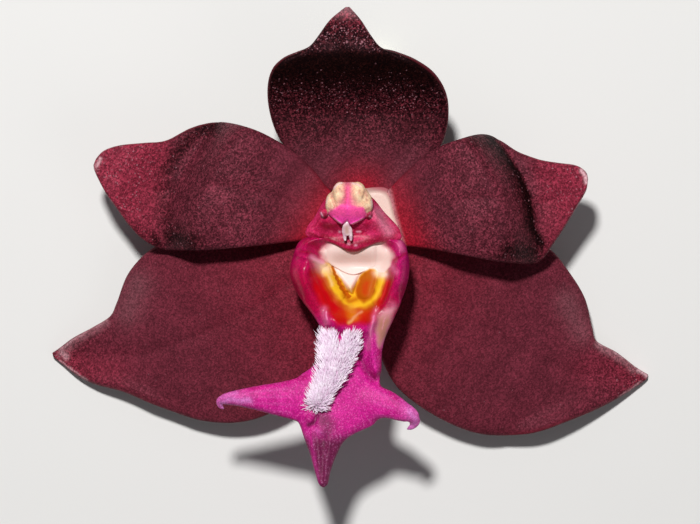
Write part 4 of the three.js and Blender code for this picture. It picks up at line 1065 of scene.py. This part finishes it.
def streaks(x, y):
    """Fine veins that run down the mid-lobe and out along the two arms."""
    down = np.sin(19 * (x + 0.12 * y) + 0.8 * np.sin(1.7 * y)) * smooth(-15, -16.5, y)
    left = np.sin(11 * (y + 12.9) / (0.5 + 0.12 * np.maximum(0, x + 11))) * smooth(-4.5, -6, x)
    right = np.sin(9 * (y + 12.9 + 0.3 * x) / (0.5 + 0.3 * np.maximum(0, 5.5 - x))) * smooth(1.2, 2.5, x)
    arms = (left + right) * smooth(-11, -12, y) * (1 - smooth(-15, -16, y))
    return np.maximum(0.28 * down, 0.13 * arms)


def flesh_fields(obj):
    """Colours of the lip, its ridges and its tongue, by place alone, so that they run on across pieces."""
    points = points_of(obj)
    x, y, z = points.T
    wavy = wavering(points, 0.035)
    border = 0.1 + 0.28 * smooth(-1.6, -0.8, y)
    white = smooth(-border, border, depth_in(wavy, WHITE_THROAT)) * (1 - 0.75 * smooth(-2.9, -3.9, y))
    toothed = points + (0.1 * np.abs(np.sin(7.5 * y)) * smooth(-1.9, -2.4, y))[:, None] * (1, 0, 0)
    serration = band(toothed, THROAT_SERRATION, 0.12 + 0.1 * smooth(-1.8, -4, y))
    serration = smooth(0.25, 0.55, serration)
    yellow = depth_in(wavy, YELLOW_THROAT)
    flame = strokes(wavy, [(0.8, [(-0.1, -5), (0.2, -5.7)], 0.45), (0.6, LOW_FLAME, 0.16)])
    fringe = smooth(-0.55, -0.05, yellow) * (1 - smooth(0, 0.4, yellow)) * (1 - 0.8 * smooth(1.8, 2.6, x))
    hollow = 0.8 * band(wavy, [(-0.55, -4.15), (-0.1, -4.6), (0.45, -4.45)], 0.3)
    orange = np.max([0.55 * fringe, within(wavy, ORANGE_LOBE, 0.2), 0.5 * flame, hollow], axis=0)
    cream = 0.7 * band(wavy, [(2.3, -2.2), (2.9, -2.3)], 0.35)
    cream = np.maximum(0.6 * within(wavy, CREAM_RIDGE, 0.55), cream)
    # A painted highlight down the left ridge's crest and along the low flame.
    crest = relief(wavy, [(0.28, [(-2, -2.2), (-1.6, -3.2)], 0.14), (0.16, LOW_FLAME, 0.12)])
    flank = within(wavy, FLANK, 0.3)
    # Painted brown shade on the lower flank, darker near its edges.
    flank_dusk = flank * (0.5 + 0.45 * (depth_in(points, FLANK) < 0.45)) * smooth(-5.2, -6.4, y)
    # Painted shade in the white bowl, strongest a little below the column's lip.
    white_dusk = white * (0.02 + 0.26 * smooth(-2.1, -0.9, y) - 0.2 * smooth(-0.8, -0.2, y))
    right_lobe = smooth(3, 4.3, x) * smooth(-5.5, -4.5, y)
    lilac = [0.5 * smooth(-8, -11, x), 0.5 * smooth(3.5, 5.5, x) * smooth(-12, -13, y)]
    lower = 0.95 * smooth(-15.2, -16.8, y) * (1 - 0.5 * band(points, [(-3.6, -15.4), (-2.8, -20.2)], 0.2))
    embers = [(0.75, [(1.3, -3.1), (1.15, -3.8)], 0.34), (0.5, [(-0.9, -5.7), (1.3, -5.6)], 0.4)]
    inside = {
        "red": within(wavy, RED_THROAT, 0.35) * (0.7 + 0.3 * smooth(-2.2, -3.6, y)),
        "yellow": np.maximum(smooth(-0.15, 0.3, yellow), flame),
        "orange": np.maximum(orange * (1 - cream), serration),
        "ember": strokes(wavy, embers),
        "white": np.max([white * (1 - serration), cream * (1 - serration), crest, 0.25 * flank], axis=0),
        "dusk": np.maximum(white_dusk, flank_dusk),
    }
    return {
        "crimson": smooth(-8.2, -5, y) * (0.8 + 0.18 * smooth(-0.6, -3, y)) * (1 - 0.35 * right_lobe),
        "deep": strokes(wavy, DEEP_STROKES),
        "pink": np.maximum(strokes(wavy, PINK_STROKES), 0.45 * flank),
        "lilac": np.max([*lilac, strokes(wavy, LILAC_STROKES), streaks(x, y)], axis=0),
        "shade": np.maximum(strokes(wavy, SHADE_STROKES), lower),
        **{name: values * smooth(9.3, 9.8, z) for name, values in inside.items()},
    }


# The throat's ridges: how far they stand up, their lines, the half widths on their left and right,
# and how steep they are.
CALLUS_RIDGES = [
    (0.58, [(-1.8, -2.3), (-1.4, -3.1), (-0.7, -4.2)], 0.6, 0.34, 2.6),
    (0.7, [(1.55, -2.4), (1.35, -3.1), (1.15, -3.9)], 0.7, 0.7, 3),
    (0.45, [(2.6, -2.6), (2.4, -3.5), (1.8, -4.5)], 0.5, 0.5, 2),
    (0.45, [(-0.8, -4.4), (0.2, -4.9)], 0.65, 0.65, 2), (0.45, [(1.5, -4.5), (0.2, -4.9)], 0.65, 0.65, 2),
]
CALLUS_X = (-3.6, 3.8)
CALLUS_Y = (-7, -0.9)
CALLUS_STEP = 0.05
CALLUS_SMOOTHING = 6
# Ground that rises less than this isn't part of the ridges, which start CALLUS_ROOT below the floor.
CALLUS_LOWEST = 0.02
CALLUS_ROOT = 0.12
CALLUS_DEPTH = 0.5


def height_reader(obj):
    """A function that reads how high an object stands at x, y, from above."""
    mesh = obj.data
    tree = BVHTree.FromPolygons([v.co for v in mesh.vertices], [tuple(f.vertices) for f in mesh.polygons])

    def height(x, y):
        hit = tree.ray_cast(Vector((x, y, 30)), Vector((0, 0, -1)))[0]
        return hit.z if hit else 0
    return height


def build_callus(height, material):
    """Ridges that are draped over the floor of the throat."""
    xs, ys = np.arange(*CALLUS_X, CALLUS_STEP), np.arange(*CALLUS_Y, CALLUS_STEP)
    x, y = np.meshgrid(xs, ys, indexing="ij")
    ground = np.array([[height(a, b) for b in ys] for a in xs])
    for _ in range(CALLUS_SMOOTHING):
        ground[1:-1, 1:-1] = (ground[:-2, 1:-1] + ground[2:, 1:-1] + ground[1:-1, :-2] + ground[1:-1, 2:]) / 4
    flat = np.column_stack([x.ravel(), y.ravel()])
    ridges = strokes(flat, CALLUS_RIDGES)
    serration = 0.07 * np.sin(flat[:, 1] * 15) * band(flat, THROAT_SERRATION, 0.2)
    top = ground.ravel() - CALLUS_ROOT + ridges + serration
    faces = grid_faces(np.arange(x.size).reshape(x.shape))
    used, faces = compact(faces[(ridges[faces] > CALLUS_LOWEST).all(axis=1)])
    obj = new_object("throat_callus_fine", np.column_stack([flat, top])[used], faces)
    modify(obj, "SOLIDIFY", thickness=CALLUS_DEPTH, offset=-1)
    finish_piece(obj, "throat_callus", "yellow_callus", material, **flesh_fields(obj))


def tongue_height(x, y, reach, s, t):
    """Just over the bowl in the middle, and under it at both sides."""
    aside = np.abs(x - 0.05)
    return throat_floor(x, y) + 0.1 * (1 - smooth(0.7, 2, aside)) - 0.6 * smooth(1.7, 2.8, aside)


def build_tongue(material):
    obj, s, t = blade(
        "throat_tongue_fine", TONGUE_STATIONS, tongue_height, TONGUE_THICKNESS, rows=60, columns=80)
    finish_piece(obj, "throat_tongue", "cream", material, **flesh_fields(obj))


def build_column(material):
    count, levels = 120, 31
    plans = [np.column_stack([ring(plan, count), np.full(count, z)]).ravel() for z, plan in COLUMN_PLANS]
    rings = along(plans, np.linspace(0, 1, levels)).reshape(levels, count, 3)
    obj = melted("column_fine", [skin(list(rings))], voxel=0.09, smoothing=5)
    combine(obj, "UNION", [ball(centre, STELIDIUM_RADII) for centre in STELIDIA])
    melt(obj, voxel=0.08, smoothing=1)
    points = points_of(obj)
    across, down = ((points[:, :2] - STIGMA_CENTRE) / STIGMA_RADII).T
    dimple = -STIGMA_DEPTH * np.exp(-(across ** 2 + down ** 2) ** 1.5)
    points = lift(obj, points, dimple + 0.06 * band(points, COLUMN_LOWER_LIP, 0.22))
    # Dark crimson that is partly painted shade, and painted glints and highlights.
    deep, pale = strokes(points, COLUMN_DEEP), strokes(points, COLUMN_PALE)
    finish_piece(obj, "column", "crimson_column", material, deep=deep, pale=pale)


def build_cap(material):
    lobes = [ball(centre, radii) for centre, radii in zip(CAP_LOBES, CAP_LOBE_RADII)]
    dome = stacked(CAP_PLAN, CAP_CENTRE, CAP_LEVELS)
    obj = melted("anther_cap_fine", [dome, *lobes], voxel=0.06, smoothing=24)
    points = points_of(obj)
    slope = CAP_SLOPE_SHARE + (1 - CAP_SLOPE_SHARE) * smooth(CAP_SLOPE[1], CAP_SLOPE[0], points[:, 1])
    points[:, 2] = CAP_FOOT + (points[:, 2] - CAP_FOOT) * slope
    set_points(obj, points)
    points = lift(obj, points, relief(points, CAP_RELIEF))
    aside, y = points[:, 0] - CAP_MIDDLE_X, points[:, 1]
    crease = 0.5 * bell(aside, 0.22) * smooth(4.6, 3.2, y)
    top = 0.55 * smooth(4.9, 5.4, y) * bell(aside, 0.3)
    # Brown marks that are painted shade in the notches, and painted highlights on the rims.
    finish_piece(
        obj, "anther_cap", "cream", material,
        stripe=bell(aside, 0.4 + 0.45 * smooth(4.5, 3.5, y)),
        rose=within(wavering(points, 0.05), CAP_ROSE, 0.12),
        deep=np.maximum(crease, smooth(2.9, 2.3, y)),
        brown=np.maximum(strokes(points, CAP_SMUDGES), top),
        light=strokes(points, CAP_LIGHTS))


def build_rostellum(material):
    forms = [strap(form, rows=30, sides=20) for form in (ROSTELLUM, *ROSTELLUM_TEETH)]
    obj = melted("rostellum_fine", forms, voxel=0.03, smoothing=3)
    points = points_of(obj)
    core, glint = band(points, ROSTELLUM_CORE, 0.24), strokes(points, ROSTELLUM_GLINTS)
    finish_piece(obj, "rostellum", "cream", material, core=core, glint=glint)


# Each hair has three sides at three shares of its length, and a tip.
HAIR_SHARES = np.repeat((0, 0.4, 0.75), 3)[:, None]
HAIR_ANGLES = np.tile(math.pi / 6 + turn(3), 3)[:, None]
HAIR_FACES = [(0, 2, 1), (6, 7, 9), (7, 8, 9), (8, 6, 9)]
HAIR_FACES += [(i + k, i + (k + 1) % 3, i + 3 + (k + 1) % 3, i + 3 + k) for i in (0, 3) for k in range(3)]


def hair(root, forward, bend):
    """A slim hair that bends on its way to the tip."""
    side = unit(np.cross(forward, (0, 0, 1)))
    other = unit(np.cross(side, forward))
    spine = root + forward * HAIR_SHARES + bend * HAIR_SHARES * (1 - HAIR_SHARES) * 2
    radius = HAIR_RADIUS * (1 - 0.75 * HAIR_SHARES)
    points = spine + radius * (np.cos(HAIR_ANGLES) * side + np.sin(HAIR_ANGLES) * other)
    return np.vstack([points, root + forward])


def build_hair_pad(material):
    rng = np.random.default_rng(HAIR_SEED)
    core = melted("pad_core", [strap(PAD_LEFT), strap(PAD_RIGHT)], voxel=0.12, smoothing=14)
    core_points = points_of(core) - (0, 0, HAIR_ROOT)
    set_points(core, core_points)
    height = height_reader(core)
    parts = [(core_points, [list(f.vertices) for f in core.data.polygons])]
    bpy.data.objects.remove(core)
    share = rng.uniform(0, 1, HAIR_COUNT) ** 0.9
    sideways = rng.uniform(-1, 1, HAIR_COUNT)
    for end, side, left, right in zip(share, sideways, along(PAD_LEFT, share), along(PAD_RIGHT, share)):
        low, high = left[0] - left[3], right[0] + right[3]
        x = (low + high) / 2 + side * (high - low) / 2 * HAIR_SPREAD
        tuft = left if side < 0 else right
        split = max(0, 1 - end / TUFT_SHARE)
        if abs(x - (left[0] + right[0]) / 2) < PARTING_WIDTH * split:
            continue
        length = rng.uniform(*HAIR_LENGTHS) * (0.8 + 0.45 * abs(side) ** 3) * (1 - 0.12 * split)
        outward = 0.1 + 0.7 * max(-0.35, (x - tuft[0]) / tuft[3] * np.sign(side))
        combed = (0.9 if side < 0 else 1.1) * side * abs(side)
        aside = combed * (1 - split) + outward * np.sign(side) * split + rng.normal(0, HAIR_SCATTER)
        upward = 0.8 - 0.2 * side - 1.1 * max(0, end - PAD_LOW_END) / 0.18 + rng.normal(0, HAIR_SCATTER)
        lean = unit(np.array((aside, upward, rng.uniform(0.12, 0.55))))
        root = np.array((x, left[1], max(height(x, left[1]), left[2] - 0.3) - 0.05))
        bend = np.array((0.1 * side, -0.06, 0.16)) * length
        parts.append((hair(root, lean * length, bend), HAIR_FACES))
    depths = np.append(1 - HAIR_SHARES, 0)
    roots = np.append(np.full(len(core_points), 0.8), np.tile(depths, len(parts) - 1))
    obj = joined("lip_hair_pad_fine", parts)
    finish_piece(obj, "lip_hair_pad", "white_hair", material, root=0.85 * roots ** 2)
    obj.data.shade_flat()


# Stage

def build_floor():
    corners = FLOOR_REACH * np.array([(-1, -1, 0), (1, -1, 0), (1, 1, 0), (-1, 1, 0)])
    floor = new_object("floor", corners, [(0, 1, 2, 3)])
    floor.data.materials.append(Paint("pale_floor").finish(Base_Color=(0.72, 0.71, 0.69), Roughness=0.75))


def add_light(name, place, target, size, power):
    data = bpy.data.lights.new(name, "AREA")
    data.shape = "DISK"
    data.size = size
    data.energy = power
    light = put_in_scene(name, data)
    light.location = place
    light.rotation_euler = (Vector(target) - Vector(place)).to_track_quat("-Z", "Y").to_euler()


def light_stage():
    world = bpy.data.worlds.new("studio")
    world.use_nodes = True
    background = world.node_tree.nodes["Background"]
    background.inputs["Color"].default_value = (0.9, 0.92, 1, 1)
    background.inputs["Strength"].default_value = 0.1
    bpy.context.scene.world = world
    add_light("key", place=(-0.035, 0.125, 0.33), target=(0, 0, 0.008), size=0.035, power=1.36)
    add_light("fill", place=(0.30, -0.25, 0.35), target=(0, 0, 0.005), size=0.35, power=0.18)


def add_camera():
    data = bpy.data.cameras.new("camera")
    data.sensor_width = SENSOR_MM
    data.lens = SENSOR_MM * EYE_DISTANCE / (IMAGE_WIDTH_PX * MM_PER_PIXEL)
    data.clip_start = CLIP_START
    camera = put_in_scene("camera", data)
    camera.location = (EYE_X * MM, EYE_Y * MM, (EYE_PLANE + EYE_DISTANCE) * MM)
    bpy.context.scene.camera = camera


bpy.context.scene.view_settings.view_transform = "Standard"
add_camera()
light_stage()
build_floor()

velvet = velvet_maroon()
build_dorsal(velvet)
build_petal("petal_left", LEFT_PETAL_STATIONS, LEFT_PETAL_NIGHT, LEFT_GLOW_REACH, velvet)
build_petal("petal_right", RIGHT_PETAL_STATIONS, RIGHT_PETAL_NIGHT, RIGHT_GLOW_REACH, velvet)
build_lateral_sepal("lateral_sepal_left", LEFT_SEPAL_STATIONS, velvet)
build_lateral_sepal("lateral_sepal_right", RIGHT_SEPAL_STATIONS, velvet)
build_stalk(stalk_flesh())
lip = shape_lip()
build_callus(height_reader(lip), throat_flesh("yellow_callus", roughness=0.6, level=0.12))
lip_flesh = throat_flesh("magenta_lip", roughness=0.28, level=0.18)
finish_piece(lip, "lip", "magenta_lip", lip_flesh, **flesh_fields(lip))
build_tongue(throat_flesh("cream_tongue", roughness=0.3, level=0.18))
build_column(crimson_column())
build_cap(cream_cap())
build_rostellum(pale_rostellum())
build_hair_pad(white_hair())
